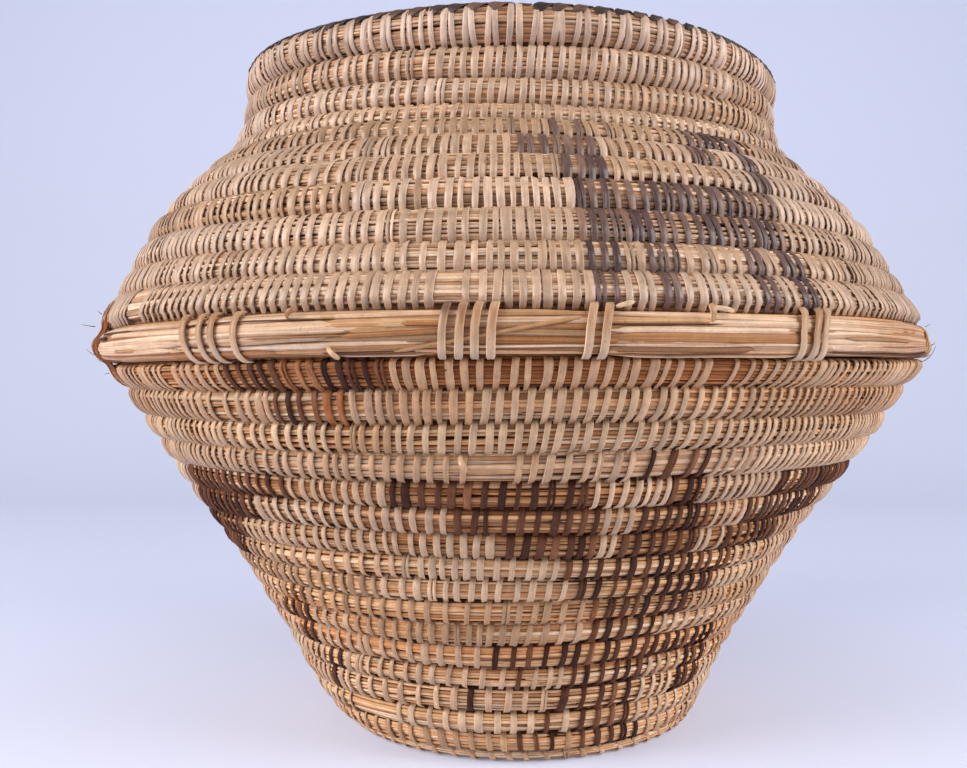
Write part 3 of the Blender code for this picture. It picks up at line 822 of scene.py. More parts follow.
def ribbon_piece(name, points, lengths, tones, seeds, top):
    """One mesh of closed strips, with their colours and the maps that run along them.

    The map "fibre" runs from 0 to 1 across the top of a strip, and in metres along it.
    """
    count, stations, corners = points.shape[:3]
    index = np.arange(count * stations * corners).reshape(count, stations, corners)
    here, there = index[:, :-1], index[:, 1:]
    quads = np.stack([here, np.roll(here, -1, 2), np.roll(there, -1, 2), there], axis=-1).reshape(-1, 4)
    caps = np.concatenate([index[:, 0, ::-1], index[:, -1]])
    mesh = bpy.data.meshes.new(name)
    mesh.vertices.add(points.size // 3)
    mesh.vertices.foreach_set("co", points.astype(np.float32).ravel())
    mesh.loops.add(quads.size + caps.size)
    mesh.loops.foreach_set("vertex_index", np.concatenate([quads.ravel(), caps.ravel()]).astype(np.int32))
    mesh.polygons.add(len(quads) + len(caps))
    starts = np.concatenate([np.arange(len(quads)) * 4, quads.size + np.arange(len(caps)) * corners])
    mesh.polygons.foreach_set("loop_start", starts.astype(np.int32))
    mesh.update(calc_edges=True)
    mesh.polygons.foreach_set("use_smooth", np.ones(len(quads) + len(caps), bool))

    colour = np.concatenate([tones, np.broadcast_to(seeds[:, None, None], (count, stations, 1))], axis=2)
    colour = np.repeat(colour.reshape(-1, 4), corners, axis=0)
    tone = mesh.attributes.new("tone", "FLOAT_COLOR", "POINT")
    tone.data.foreach_set("color", colour.astype(np.float32).ravel())

    # Corner maps: along the strip and round it, and the strips side by side in a grid for baking
    station = np.broadcast_to(np.arange(stations)[None, :, None], index.shape)
    corner = np.broadcast_to(np.arange(corners)[None, None, :], index.shape)
    strip = np.broadcast_to(np.arange(count)[:, None, None], index.shape)
    length = np.broadcast_to(lengths[:, :, None], index.shape)

    def quad_values(values):
        here_values, there_values = values[:, :-1], values[:, 1:]
        picks = [here_values, np.roll(here_values, -1, 2), np.roll(there_values, -1, 2), there_values]
        return np.stack(picks, axis=-1).reshape(-1)

    def cap_values(values):
        return np.concatenate([values[:, 0, ::-1], values[:, -1]]).reshape(-1)

    def loop_values(values):
        return np.concatenate([quad_values(values), cap_values(values)])

    around_here = corner[:, :-1]
    around_next = around_here + 1
    around_quads = np.stack([around_here, around_next, around_next, around_here], axis=-1).reshape(-1)
    around = np.concatenate([around_quads, cap_values(corner)])
    fibre = np.stack([around / top, loop_values(length)], axis=-1)
    mesh.uv_layers.new(name="fibre").data.foreach_set("uv", fibre.astype(np.float32).ravel())
    mean_length = lengths[:, -1].mean()
    columns = max(1, math.ceil(math.sqrt(count * mean_length / (corners * MILLIMETRE))))
    rows = math.ceil(count / columns)
    strip_number = loop_values(strip)
    cell = np.stack([strip_number % columns, strip_number // columns], axis=-1)
    share = np.stack([around / corners, loop_values(station) / (stations - 1)], axis=-1)
    bake = (cell + CELL_MARGIN + share * (1 - 2 * CELL_MARGIN)) / np.array([columns, rows])
    mesh.uv_layers.new(name="OFBake").data.foreach_set("uv", bake.astype(np.float32).ravel())
    mesh.validate()
    piece = bpy.data.objects.new(name, mesh)
    bpy.context.collection.objects.link(piece)
    return piece


def node(tree, kind, inputs=(), **settings):
    """Add a shader node with its settings, and set or link its inputs."""
    made = tree.nodes.new(kind)
    for key, value in settings.items():
        setattr(made, key, value)
    for key, value in dict(inputs).items():
        if isinstance(value, bpy.types.NodeSocket):
            tree.links.new(value, made.inputs[key])
        else:
            made.inputs[key].default_value = value
    return made


def math_node(tree, operation, *values):
    """Add a math node and return its result."""
    return node(tree, "ShaderNodeMath", enumerate(values), operation=operation).outputs[0]


def scaled(tree, colour, factors, operation="MULTIPLY", second=1):
    """Multiply a colour by factors, or by one number, and return the result."""
    inputs = {0: colour, second: factors}
    return node(tree, "ShaderNodeVectorMath", inputs, operation=operation).outputs[0]


def mixed(tree, share, first, second):
    """Mix two colours by a share and return the result."""
    return node(tree, "ShaderNodeMix", {0: share, 4: first, 5: second}, data_type="VECTOR").outputs[1]


def ranged(tree, value, low, high, new_low=0.0, new_high=1.0, **settings):
    """Map a range of values to a new one and return the result."""
    inputs = {"Value": value, 1: low, 2: high, 3: new_low, 4: new_high}
    return node(tree, "ShaderNodeMapRange", inputs, **settings).outputs[0]


def noise(tree, place, scale, detail, roughness=0.5):
    """Add a noise and return its values."""
    inputs = {"Vector": place, "Scale": scale, "Detail": detail, "Roughness": roughness}
    return node(tree, "ShaderNodeTexNoise", inputs).outputs["Fac"]


def new_material(name):
    """Make a material and return it with its node tree and its shader."""
    material = bpy.data.materials.new(name)
    material.use_nodes = True
    return material, material.node_tree, material.node_tree.nodes["Principled BSDF"]


def fibre_material(name, across, along, streak, mottle, rough, bump, gloss=0.5, rim=0.0):
    """Make a plant fibre: each strip's own tone, streaked, mottled and specked.

    Where the rim is above 0, its edges are lighter as painted highlight and its middle darker and warmer as
    painted shade; where the rim is below 0, its edges are darker as painted shade between strips.
    """
    material, tree, shader = new_material(name)
    tone = node(tree, "ShaderNodeAttribute", attribute_name="tone")
    own = tone.outputs["Alpha"]
    fibre = node(tree, "ShaderNodeUVMap", uv_map="fibre")
    x, y, _ = node(tree, "ShaderNodeSeparateXYZ", {0: fibre.outputs["UV"]}).outputs
    place = node(tree, "ShaderNodeCombineXYZ", {
        0: math_node(tree, "MULTIPLY", x, across),
        1: math_node(tree, "MULTIPLY", y, along),
        2: math_node(tree, "MULTIPLY", own, STRIP_OFFSET),
    })
    solid = node(tree, "ShaderNodeTexCoord").outputs["Object"]
    streaks = noise(tree, place.outputs[0], 1.0, 3.0, 0.65)
    patches = noise(tree, solid, PATCH_SCALE, 3.0, 0.6)
    specks = noise(tree, solid, SPECK_SCALE, 2.0)
    depth = math_node(tree, "MULTIPLY", ranged(tree, streaks, *STREAK_RANGE, 1.0, 0.0), streak)
    colour = mixed(tree, depth, tone.outputs["Color"], scaled(tree, tone.outputs["Color"], STREAK_TINT))
    factor = math_node(tree, "MULTIPLY", ranged(tree, patches, *PATCH_RANGE, 1.0 - mottle, 1.0 + mottle),
                       ranged(tree, specks, *SPECK_RANGE, 1.0, 1.0 - SPECK_DEPTH))
    if rim:
        centred = math_node(tree, "ABSOLUTE", math_node(tree, "SUBTRACT", x, 0.5))
    # Above 0 the lighter edges are painted highlight, and the darker, warmer middle painted shade
    if rim > 0:
        edge = ranged(tree, centred, *HIGHLIGHT_EDGE_RANGE, MIDDLE_SHADE_SHARE, 1.0)
        highlight_and_shade = math_node(tree, "MULTIPLY_ADD", edge, math_node(tree, "MULTIPLY", own, rim), 1.0)
        factor = math_node(tree, "MULTIPLY", factor, highlight_and_shade)
        tint = mixed(tree, ranged(tree, centred, *CENTRE_SHADE_RANGE), CENTRE_SHADE_TINT, PLAIN_TINT)
        colour = scaled(tree, colour, tint)
    # Below 0 the darker edges are painted shade between strips
    elif rim < 0:
        tint = mixed(tree, ranged(tree, centred, *EDGE_SHADE_RANGE, 0.0, -rim), PLAIN_TINT, EDGE_SHADE_TINT)
        colour = scaled(tree, colour, tint)
    tree.links.new(scaled(tree, colour, factor, "SCALE", "Scale"), shader.inputs["Base Color"])
    roughness = ranged(tree, patches, *PATCH_RANGE, rough - ROUGHNESS_SPREAD, rough + ROUGHNESS_SPREAD)
    tree.links.new(roughness, shader.inputs["Roughness"])
    relief = node(tree, "ShaderNodeBump", {"Height": streaks, "Strength": bump, "Distance": RELIEF})
    tree.links.new(relief.outputs["Normal"], shader.inputs["Normal"])
    shader.inputs["Specular IOR Level"].default_value = gloss
    return material


def crowding(coil, row, turns):
    """How much closer than usual a row's stitches lie at these turns."""
    if not coil.crowded:
        return np.ones(turns.shape)
    bearings, values = np.array(CROWDING).T
    strength = np.interp(row, CROWDED_ROWS, CROWDING_STRENGTHS)
    return 1.0 + (np.interp(bearing_of(turns), bearings, values) - 1.0) * strength


def sew_rows(coil, pitches, leans, rng):
    """Place stitches as (row, top turns, foot turns), each foot between two tops of the row below."""
    placed = []
    tops = None
    for row, pitch in enumerate(pitches):
        girth = coil.girth(row)
        mean_crowding = crowding(coil, row, np.arange(CROWDING_SAMPLES) / CROWDING_SAMPLES).mean()
        wanted = round(girth / pitch * mean_crowding)
        if tops is None:
            feet = (np.arange(wanted) + rng.uniform()) / wanted
        else:
            feet = (tops + np.append(tops[1:], tops[0] + 1.0)) / 2
            spare = wanted - len(feet)
            moves = CROWDING_MOVES if coil.crowded and row > CROWDED_ROWS[0] else 0
            added, taken = max(spare, 0) + moves, max(-spare, 0) + moves
            if taken:
                spans = np.diff(np.append(feet, feet[0] + 1.0)) * crowding(coil, row, feet)
                tight = 1 / (spans + np.roll(spans, 1)) ** CHOICE_POWER
                feet = np.delete(feet, rng.choice(len(feet), taken, replace=False, p=tight / tight.sum()))
            if added:
                gaps = np.diff(np.append(feet, feet[0] + 1.0))
                wide = (gaps * crowding(coil, row, feet)) ** CHOICE_POWER
                doubled = rng.choice(len(feet), added, replace=False, p=wide / wide.sum())
                feet = np.append(feet, feet[doubled] + DOUBLING_SHARE * gaps[doubled])
        feet = np.sort(feet % 1.0)
        for _ in range(EVENING_ROUNDS):
            before = np.append(feet[-1] - 1.0, feet[:-1])
            after = np.append(feet[1:], feet[0] + 1.0)
            feet = (1 - 2 * EVENING_SHARE) * feet + EVENING_SHARE * (before + after)
        feet = feet + rng.normal(0.0, PLACE_JITTER / 2, len(feet)) / girth
        tops = feet + (np.resize(leans, len(feet)) + rng.normal(0.0, PLACE_JITTER, len(feet))) / girth
        placed.append(np.stack([np.full(len(feet), float(row)), tops, feet], axis=-1))
        tops = np.sort(tops)
    return np.concatenate(placed)


def bearing_of(turns):
    """Bearing at so many turns from the back, within half a turn of the front."""
    return ((turns % 1.0) - FRONT_TURNS) * FULL_TURN


def within(bearing, spans):
    """Mark which bearings lie in any of the spans, at the front or half a turn on."""
    inside = np.zeros(bearing.shape, bool)
    for span in spans:
        for shift in (-FULL_TURN / 2, 0.0, FULL_TURN / 2):
            inside |= (bearing >= span[0] + shift) & (bearing <= span[1] + shift)
    return inside


def make_stitches(coil, placed, figures, bare, half_width, look, rng):
    """Give stitches their dye and width, and build the undyed and dyed ones outside, and all inside."""
    row, tops, feet = placed.T
    bearing = bearing_of((tops + feet) / 2)
    kept = np.ones(len(row), bool)
    for number, spans in bare.items():
        kept &= ~((row == number) & within(bearing, spans))
    row, tops, feet, bearing = row[kept], tops[kept], feet[kept], bearing[kept]
    count = len(row)
    tones = run_tones(rng, look.splint_tones, SPLINT_CHANCES, count) * row_tints_and_light(coil, row, 1)
    dyed = np.zeros(count, bool)
    for number, spans in enumerate(figures):
        for span in spans:
            marked = (row == number) & within(bearing, (span,))
            dye = DYES[span[2] if len(span) > 2 else look.dye]
            tones[marked] = pick_tones(rng, *dye, int(marked.sum()))
            dyed |= marked
    widths = half_width * np.exp(rng.normal(0.0, WIDTH_SPREAD, count)) / crowding(coil, row, tops)
    twists = np.radians(rng.normal(0.0, TWIST_SPREAD, count))
    stitches = (row, tops, feet, widths, twists, tones)
    inner = Ribbons(PLAIN_PROFILE)
    plain_outer = Ribbons(SPLINT_PROFILE)
    dyed_outer = Ribbons(SPLINT_PROFILE)
    split = rng.uniform(size=count) < np.where(dyed, DARK_SPLIT_CHANCE, SPLIT_CHANCE)
    edge = row == coil.edge_row
    for outer, path, chosen in ((plain_outer, OUTER_PATH, ~edge & ~dyed), (plain_outer, EDGE_PATH, edge),
                                (dyed_outer, OUTER_PATH, ~edge & dyed)):
        add_stitches(outer, coil, [column[~split & chosen] for column in stitches], path, rng)
        torn = split & chosen
        torn_count = int(torn.sum())
        for side, share in SPLIT_STRANDS:
            offset = SPLIT_OFFSET_SHARE + rng.normal(0.0, SPLIT_OFFSET_SPREAD, torn_count)
            moved = side * widths[torn] * offset / coil.girth(row[torn])
            strand_tones = tones[torn] * np.exp(rng.normal(0.0, SPLIT_TONE_SPREAD, (torn_count, 1)))
            strands = (row[torn], tops[torn] + moved * SPLIT_TOP_SHARE, feet[torn] + moved,
                       widths[torn] * share, twists[torn], strand_tones)
            add_stitches(outer, coil, strands, path, rng)
    add_stitches(inner, coil, stitches, INNER_PATH, rng)
    return plain_outer, dyed_outer, inner


def add_stitches(ribbons, coil, stitches, path, rng):
    """Add stitches that follow a path over the coil's section.

    They come as columns of row, turns at the top and the foot, half width, twist and tone.
    """
    row, tops, feet, widths, twists, tones = stitches
    count = len(row)
    if not count:
        return
    angle, growth, share, breadth = np.array(path).T
    arch = np.sin(math.pi * share)
    bow = rng.normal(0.0, BOW_SPREAD, count)
    turns = row[:, None] + tops[:, None] + (feet - tops)[:, None] * share
    turns = turns + (bow / coil.girth(row))[:, None] * arch
    lift = rng.uniform(*STITCH_LIFTS, count)[:, None] * arch
    centres, normals = coil.places(turns, angle, growth + lift)
    side = np.cross(unit(np.gradient(centres, axis=1)), normals)
    normals = normals * np.cos(twists)[:, None, None] + side * np.sin(twists)[:, None, None]
    wobble = 1.0 + rng.normal(0.0, WIDTH_WOBBLE, (count, len(path)))
    thickness = STITCH_THICKNESS * rng.uniform(*THICKNESS_SHARES, count)[:, None]
    # Darker ends: partly dirt, partly painted shade where the stitch goes into the coil
    ends = np.clip(np.abs(share - 0.5) * 4 - 1, 0.0, 1.0)
    grime_and_shade = rng.uniform(*END_GRIME_AND_SHADE, (count, 1)) * ends + rng.uniform(*SCATTERED_GRIME, (count, len(path)))
    stained = tones[:, None] * np.exp(-grime_and_shade[..., None] * np.array(GRIME_AND_SHADE_TINT))
    ribbons.add(centres, unit(normals), widths[:, None] * breadth * wobble, thickness, stained,
                rng.uniform(size=count))


def straw_lines(coil, span, spacing):
    """Section angles that lie equally far apart round the middle row of a coil."""
    angles = np.linspace(*span, LINE_SAMPLES)
    points, _ = coil.places(np.full(LINE_SAMPLES, coil.rows / 2), angles, 0.0)
    gone = np.concatenate([[0.0], np.cumsum(np.linalg.norm(np.diff(points, axis=0), axis=1))])
    return np.interp(np.linspace(0.0, gone[-1], math.ceil(gone[-1] / spacing) + 1), gone, angles)


def add_waves(places, waves, phases):
    """Add up waves, as pairs of size and pace, along strips that each have a phase for every wave."""
    return sum(size * np.sin(places * pace + phases[:, k:k + 1]) for k, (size, pace) in enumerate(waves))


def tapered(along, reach, least):
    """Shares of the full width along a strip, from the least share at its ends."""
    return np.clip(np.minimum(along, 1.0 - along) / reach, least, 1.0)


def make_straws(coil, angles, first, last, tones, chances, rng, half_width=STRAW_HALF_WIDTH,
                lengths=STRAW_LENGTHS, profile=ROUND_PROFILE, sink=STRAW_SINK):
    """Lay straws end to end in lines along the coil, between two turns."""
    straws = []
    for angle in angles:
        turns = first - rng.uniform(0.0, FIRST_STRAW_TURNS)
        while turns < last:
            reach = rng.uniform(*lengths) / (math.tau * coil.edge(max(turns, 0.0))[0])
            straws.append((max(turns, first), min(turns + reach, last), angle))
            turns += reach * rng.uniform(STRAW_OVERLAP_SHARE, 1.0)
    starts, ends, lines = np.array([straw for straw in straws if straw[1] - straw[0] > LEAST_STRAW_TURNS]).T
    count = len(starts)
    along = np.linspace(0.0, 1.0, STRAW_STATIONS)[None, :]
    turns = starts[:, None] + (ends - starts)[:, None] * along
    phases = rng.uniform(0.0, math.tau, (count, 4))
    wander = add_waves(turns, STRAW_WANDERS, phases[:, :2])
    dip = add_waves(turns, STRAW_DIPS, phases[:, 2:])
    depth = sink + rng.uniform(*SINK_SPREAD, count)[:, None]
    strays = rng.normal(0.0, LINE_SPREAD, count)[:, None]
    centres, normals = coil.places(turns, lines[:, None] + wander + strays, dip - depth)
    taper = tapered(along, *STRAW_TAPER)
    widths = half_width * np.exp(rng.normal(0.0, STRAW_WIDTH_SPREAD, count))[:, None] * taper
    colours = pick_tones(rng, tones, chances, count, STRAW_TONE_SPREAD)[:, None] * stains_and_light(coil, turns)
    colours = colours / np.maximum(colours.max(axis=-1, keepdims=True) / BRIGHTEST, 1.0)
    ribbons = Ribbons(profile)
    ribbons.add(centres, normals, widths, STRAW_HALF_THICKNESS * taper, colours, rng.uniform(size=count))
    return ribbons


def read_factors(table, places, column):
    """Colour factors read from a column of a table, whose first column rises, at some places."""
    starts = [entry[0] for entry in table]
    channels = zip(*(entry[column] for entry in table))
    return np.stack([np.interp(places, starts, channel) for channel in channels], axis=-1)


def row_tints_and_light(coil, rows, column):
    """Factors that tint the stitches, column 1, or the straws, column 2, of some rows, in part as painted
    light.
    """
    return read_factors(ROW_TINTS_AND_LIGHT.get(coil.name, UNTINTED_ROWS), rows, column)


def stains_and_light(coil, turns):
    """Factors that tint the straws, for turns from the back, painted light among them."""
    bearing = bearing_of(turns)
    row = np.floor(turns)
    factors = row_tints_and_light(coil, row, 2) if coil.climbs else read_factors(RING_WEATHERING, bearing, 1)
    for rows, first, last, tint in STAINS_AND_LIGHT.get(coil.name, ()):
        depth = np.clip(np.minimum(bearing - first, last - bearing) / TINT_FADE, 0.0, 1.0)
        depth *= np.isin(row, rows)
        factors *= 1.0 + (np.array(tint) - 1.0) * depth[..., None]
    return factors


def make_core(coil, first, last):
    """Make the inside of the coil, which reaches the rows beside it and shows only between straws, dark as
    painted shade in those gaps.
    """
    length = coil.girth(coil.rows / 2) * (last - first)
    turns = np.linspace(first, last, round(length / CORE_STEP))[None, :, None]
    angles = np.linspace(0.0, FULL_TURN, CORE_SIDES, endpoint=False)[None, None, :]
    joined = np.where(angles < FULL_TURN / 2, turns < coil.joined_rows, coil.climbs)
    upright = np.abs(np.sin(np.radians(angles))) * joined
    points, _ = coil.places(turns, angles, -CORE_SINK * (1.0 - upright) - coil.skin * upright)
    core = Ribbons(np.zeros((CORE_SIDES, 2)))
    lengths = np.linspace(0.0, length, points.shape[1])[None, :]
    tones = np.broadcast_to(np.array(CORE_SHADE_TONE), lengths.shape + (3,))
    core.groups.append((settle(points), lengths, tones, np.zeros(1)))
    return core


def dress_coil(coil, figures, pitches, bare, leans, stitch_half_width, look, seed):
    """Dress a coil with its core, straws and stitches, in the tones and materials of its look."""
    rng = np.random.default_rng(seed)
    first, last = -END_TURNS, coil.rows + END_TURNS
    nodes = [coil.node]
    make_core(coil, first, last).make(f"{coil.name}_core", CORE_MATERIAL, nodes, "coil")
    for side, span, spacing in (("outer", OUTER_STRAW_SPAN, STRAW_SPACING),
                                ("inner", INNER_STRAW_SPAN, INNER_STRAW_SPACING)):
        straws = make_straws(coil, straw_lines(coil, span, spacing), first, last, look.straw_tones,
                             STRAW_CHANCES, rng, STRAW_HALF_WIDTH * spacing / STRAW_SPACING,
                             sink=look.straw_sink)
        straws.make(f"{coil.name}_{side}_straws", STRAW_MATERIAL, nodes, "coil")
    placed = sew_rows(coil, pitches, leans, rng)
    row, _, feet = placed.T
    one_row = np.array([1.0, 0.0, 0.0])
    head = placed[(row == 0) & (feet > 1 - END_TURNS)] - one_row
    tail = placed[(row == coil.rows - 1) & (feet < END_TURNS)] + one_row
    placed = np.concatenate([head, placed, tail])
    sewing = make_stitches(coil, placed, figures, bare, stitch_half_width, look, rng)
    for ribbons, kind, material in zip(sewing, ("stitches", "dyed_stitches", "inner_stitches"),
                                       (SPLINT_MATERIAL, look.dyed_material, SPLINT_MATERIAL)):
        ribbons.make(f"{coil.name}_{kind}", material, nodes, "splint")


# Each: streaks across and along, their depth, mottling, roughness and relief
# A rim above 0 paints highlight on edges and shade in the middle; a rim below 0 paints shade along the edges
CORE_MATERIAL = fibre_material("coil_core", 3.0, 300.0, 0.2, 0.2, 0.9, 0.2, gloss=0.1)
STRAW_MATERIAL = fibre_material("grass_straw", 5.0, 45.0, 0.80, 0.14, 0.60, 0.5, gloss=0.18, rim=-0.75)
SPLINT_MATERIAL = fibre_material("splint_stitch", 6.0, 110.0, 0.45, 0.16, 0.40, 0.40, gloss=0.60, rim=0.26)
DYED_MATERIAL = fibre_material("dyed_splint", 7.0, 120.0, 0.80, 0.25, 0.60, 0.55, gloss=0.12)
WORN_DYED_MATERIAL = fibre_material("worn_dyed_splint", 7.0, 120.0, 0.80, 0.25, 0.34, 0.50)
RING_MATERIAL = fibre_material("bare_ring_straw", 7.0, 16.0, 1.00, 0.12, 0.50, 0.55, gloss=0.22, rim=-0.75)
BARK_MATERIAL = fibre_material("bark_fibre", 5.0, 300.0, 0.60, 0.25, 0.85, 0.8, gloss=0.1)
TIE_MATERIAL = fibre_material("ring_tie_splint", 6.0, 90.0, 0.35, 0.10, 0.42, 0.35, rim=0.35)
BRAID_MATERIAL = fibre_material("dark_braid", 6.0, 110.0, 0.50, 0.25, 0.50, 0.5, gloss=0.3)

LOWER_ROWS = len(LOWER_ROW_SHARES)
UPPER_ROWS = len(UPPER_ROW_SHARES)
lower = Coil("lower_wall", "lower_wall_coil",
             wall_outline(LOWER_FOOT, LOWER_TOP, LOWER_WALL_SHARES, LOWER_ROW_SHARES, LOWER_ROWS),
             LOWER_ROWS, COIL_DEPTH, joined_rows=LOWER_ROWS + 1, crowded=True)
upper = Coil("upper_wall", "upper_wall_coil",
             wall_outline(UPPER_FOOT, UPPER_TOP, UPPER_WALL_SHARES, UPPER_ROW_SHARES, 0),
             UPPER_ROWS, COIL_DEPTH, joined_rows=UPPER_ROWS + 1)
rim = Coil("rim", "rim_coil", wall_outline(UPPER_TOP, RIM_TOP, STRAIGHT_WALL_SHARES, (1.0,)), 1, RIM_DEPTH)
base = Coil("base", "base_coil", base_outline(START_BUTTON_RADIUS, BASE_RADIUS, BASE_ROWS), BASE_ROWS,
            BASE_COIL_DEPTH, skin=BASE_SKIN, edge_row=BASE_ROWS - 1, joined_rows=BASE_ROWS - 1)
button = Coil("base_start", "base_start_button",
              base_outline(START_HOLE_RADIUS, START_BUTTON_RADIUS, START_ROWS), START_ROWS,
              START_BUTTON_HEIGHT, skin=BASE_SKIN, joined_rows=START_ROWS + 1)
ring = Coil("belly_ring", "front_belly_bundle",
            ring_outline(BELLY_RADIUS, BELLY_MIDDLE[1], BUNDLE_HALF_HEIGHT), 1,
            2 * BUNDLE_HALF_DEPTH, climbs=False, slimming=RING_SLIMMING)
seat = Coil("ring_seat", "front_belly_bundle",
            ring_outline(SEAT_RADIUS, BELLY_MIDDLE[1], SEAT_HALF_HEIGHT), 1, SEAT_DEPTH, climbs=False)

fresh = Look(STRAW_TONES, SPLINT_TONES, "dark", DYED_MATERIAL, STRAW_SINK)
faded = Look(FADED_TONES, FADED_SPLINT_TONES, "faded", WORN_DYED_MATERIAL, FADED_STRAW_SINK)
dress_coil(lower, LOWER_FIGURES, LOWER_PITCHES, LOWER_BARE, LOWER_LEANS, STITCH_HALF_WIDTH, fresh, 11)
dress_coil(upper, UPPER_FIGURES, UPPER_PITCHES, UPPER_BARE, UPPER_LEANS, UPPER_STITCH_HALF_WIDTH, faded, 12)
dress_coil(rim, (), (RIM_PITCH,), {}, RIM_LEANS, RIM_STITCH_HALF_WIDTH, faded, 13)
dress_coil(base, (), (BASE_PITCH,) * BASE_ROWS, {}, UPRIGHT, STITCH_HALF_WIDTH, fresh, 14)
dress_coil(button, (), BUTTON_PITCHES, {}, UPRIGHT, STITCH_HALF_WIDTH, fresh, 15)


def face_angle(height):
    """Section angle at a height above the middle of the ring's face."""
    share = np.clip(height / BUNDLE_HALF_HEIGHT, -1.0, 1.0)
    return np.degrees(np.arcsin(np.sign(share) * np.abs(share) ** (1 / ROUNDNESS)))


def lay_strips(strips, table, growth, rng):
    """Lay broad straws over the ring, each along its own slope."""
    along = np.linspace(0.0, 1.0, STRIP_STATIONS)
    taper = tapered(along, *STRIP_TAPER)
    for first, low, last, high, half_width, shade in table:
        phases = rng.uniform(0.0, math.tau, (1, 2))
        bearing = first + (last - first) * along
        waves = add_waves(bearing, STRIP_WAVES, phases)[0]
        height = (low + (high - low) * along + waves) * MILLIMETRE
        lift = growth + rng.uniform(0.0, STRIP_LIFT)
        centres, normals = ring.places(turns_at(bearing), face_angle(height), lift)
        tone = np.array(SHADES[shade]) * np.exp(rng.normal(0.0, STRIP_TONE_SPREAD))
        tones = tone * read_factors(RING_WEATHERING, bearing, 1)
        strips.add(centres[None], normals[None], half_width * MILLIMETRE * taper,
                   STRAW_HALF_THICKNESS * taper, tones, rng.uniform(size=1))


# Bare ring: front and rear bundles, each a layer of straws over another
for name, node_name, middle, half_span, seed in (
        ("front_ring", "front_belly_bundle", FRONT_TURNS, JOINT_TURNS, 21),
        ("rear_ring", "rear_belly_bundle", 0.0, FRONT_TURNS - JOINT_TURNS, 22)):
    rng = np.random.default_rng(seed)
    first, last = middle - half_span, middle + half_span
    make_core(ring, first, last).make(f"{name}_core", CORE_MATERIAL, [node_name], "bare_straw")
    for layer, half_width, spacing, start, sink in RING_LAYERS:
        angles = straw_lines(ring, (0.0, FULL_TURN), spacing)[:-1] + start
        strips = make_straws(ring, angles, first, last, RING_TONES, RING_CHANCES, rng, half_width,
                             RING_STRAW_LENGTHS, FLAT_PROFILE, sink)
        strips.make(f"{name}_straws_{layer}", RING_MATERIAL, [node_name], "bare_straw")

# The packing and its lining, and the stitches that show on the inside of the wall there
ring_nodes = ["front_belly_bundle", "rear_belly_bundle"]
rng = np.random.default_rng(24)
make_core(seat, 0.0, 1.0).make("ring_seat_core", CORE_MATERIAL, ring_nodes, "bare_straw")
# The packing's outer straws take the dark brown tones as painted shade, in the gap behind the ring
for kind, span, tones, chances in (("straws", SEAT_SPAN, BROWN_TONES, BROWN_CHANCES),
                                   ("lining", INNER_STRAW_SPAN, STRAW_TONES, STRAW_CHANCES)):
    straws = make_straws(seat, straw_lines(seat, span, INNER_STRAW_SPACING), 0.0, 1.0, tones, chances, rng,
                         SEAT_STRAW_HALF_WIDTH)
    straws.make(f"ring_seat_{kind}", STRAW_MATERIAL, ring_nodes, "bare_straw")
row, tops, feet = sew_rows(seat, (LOWER_PITCHES[-1],), UPRIGHT, rng).T
count = len(row)
seat_stitches = Ribbons(PLAIN_PROFILE)
tones = run_tones(rng, SPLINT_TONES, SPLINT_CHANCES, count)
stitches = (row, tops, feet, np.full(count, STITCH_HALF_WIDTH), np.zeros(count), tones)
add_stitches(seat_stitches, seat, stitches, INNER_PATH, rng)
seat_stitches.make("ring_seat_stitches", SPLINT_MATERIAL, ring_nodes, "splint")

rng = np.random.default_rng(23)
front_strips = Ribbons(FLAT_PROFILE)
lay_strips(front_strips, RING_STRIPS, -STRIP_SINK, rng)
lay_strips(front_strips, RING_OVERLAYS, OVERLAY_GROWTH, rng)
front_strips.make("front_ring_strips", RING_MATERIAL, ["front_belly_bundle"], "bare_straw")


def tie_ring(rng):
    """Tie the ring down with flat splints, browner over the middle of the ring."""
    breadth = np.clip(3.0 - 2.4 * np.abs(np.linspace(-1.0, 1.0, TIE_STATIONS)), TIE_END_SHARE, 1.0)
    ties = Ribbons(SPLINT_PROFILE)
    for half_turn in (FRONT_TURNS, 0.0):
        for number, (top, middle, foot) in enumerate(RING_TIES):
            group = np.searchsorted(TIE_GROUPS, number, side="right")
            angles = np.linspace(TIE_REACHES[group], -TIE_FOOT, TIE_STATIONS)
            share = angles / QUARTER_TURN
            near_top = np.clip((angles - TIE_RISE_START) / TIE_RISE_ROOM, 0.0, 1.0)
            growth = TIE_GROWTH * (1 - TIE_SINK_SHARE * near_top)
            bearing = middle + (top - foot) / 2 * share + ((top + foot) / 2 - middle) * share ** 2
            centres, normals = ring.places(half_turn + bearing / FULL_TURN, angles, growth)
            centres[:, 2] += TIE_RISES[group] * MILLIMETRE * near_top ** 2
            browned = np.clip(TIE_BROWN_PEAK - np.abs(share - TIE_BROWN_PLACE) * TIE_BROWN_FALL, 0.0, 1.0)
            browned *= rng.uniform(*TIE_BROWNING)
            tone = np.array(TIE_TONE) * np.exp(rng.normal(0.0, TIE_TONE_SPREAD))
            tones = tone + (np.array(TIE_MIDDLE_TONE) - tone) * browned[:, None]
            stained = np.clip((share - STAIN_START) * STAIN_RISE, 0.0, STAIN_MOST)[:, None]
            stained = stained * STAINED_TIES.get(number, 0.0)
            tones = tones + (np.array(DARK_TONES[0]) - tones) * stained
            widths = TIE_HALF_WIDTH * rng.uniform(*TIE_WIDTH_SHARES) * breadth
            ties.add(centres[None], normals[None], widths, TIE_THICKNESS, tones, rng.uniform(0.5, 1.0, 1))
    return ties


tie_nodes = [f"{side}_belly_tie_{n:02d}" for side in ("front", "rear") for n in range(1, len(RING_TIES) + 1)]
tie_ring(np.random.default_rng(31)).make("ring_ties", TIE_MATERIAL, tie_nodes, "splint")


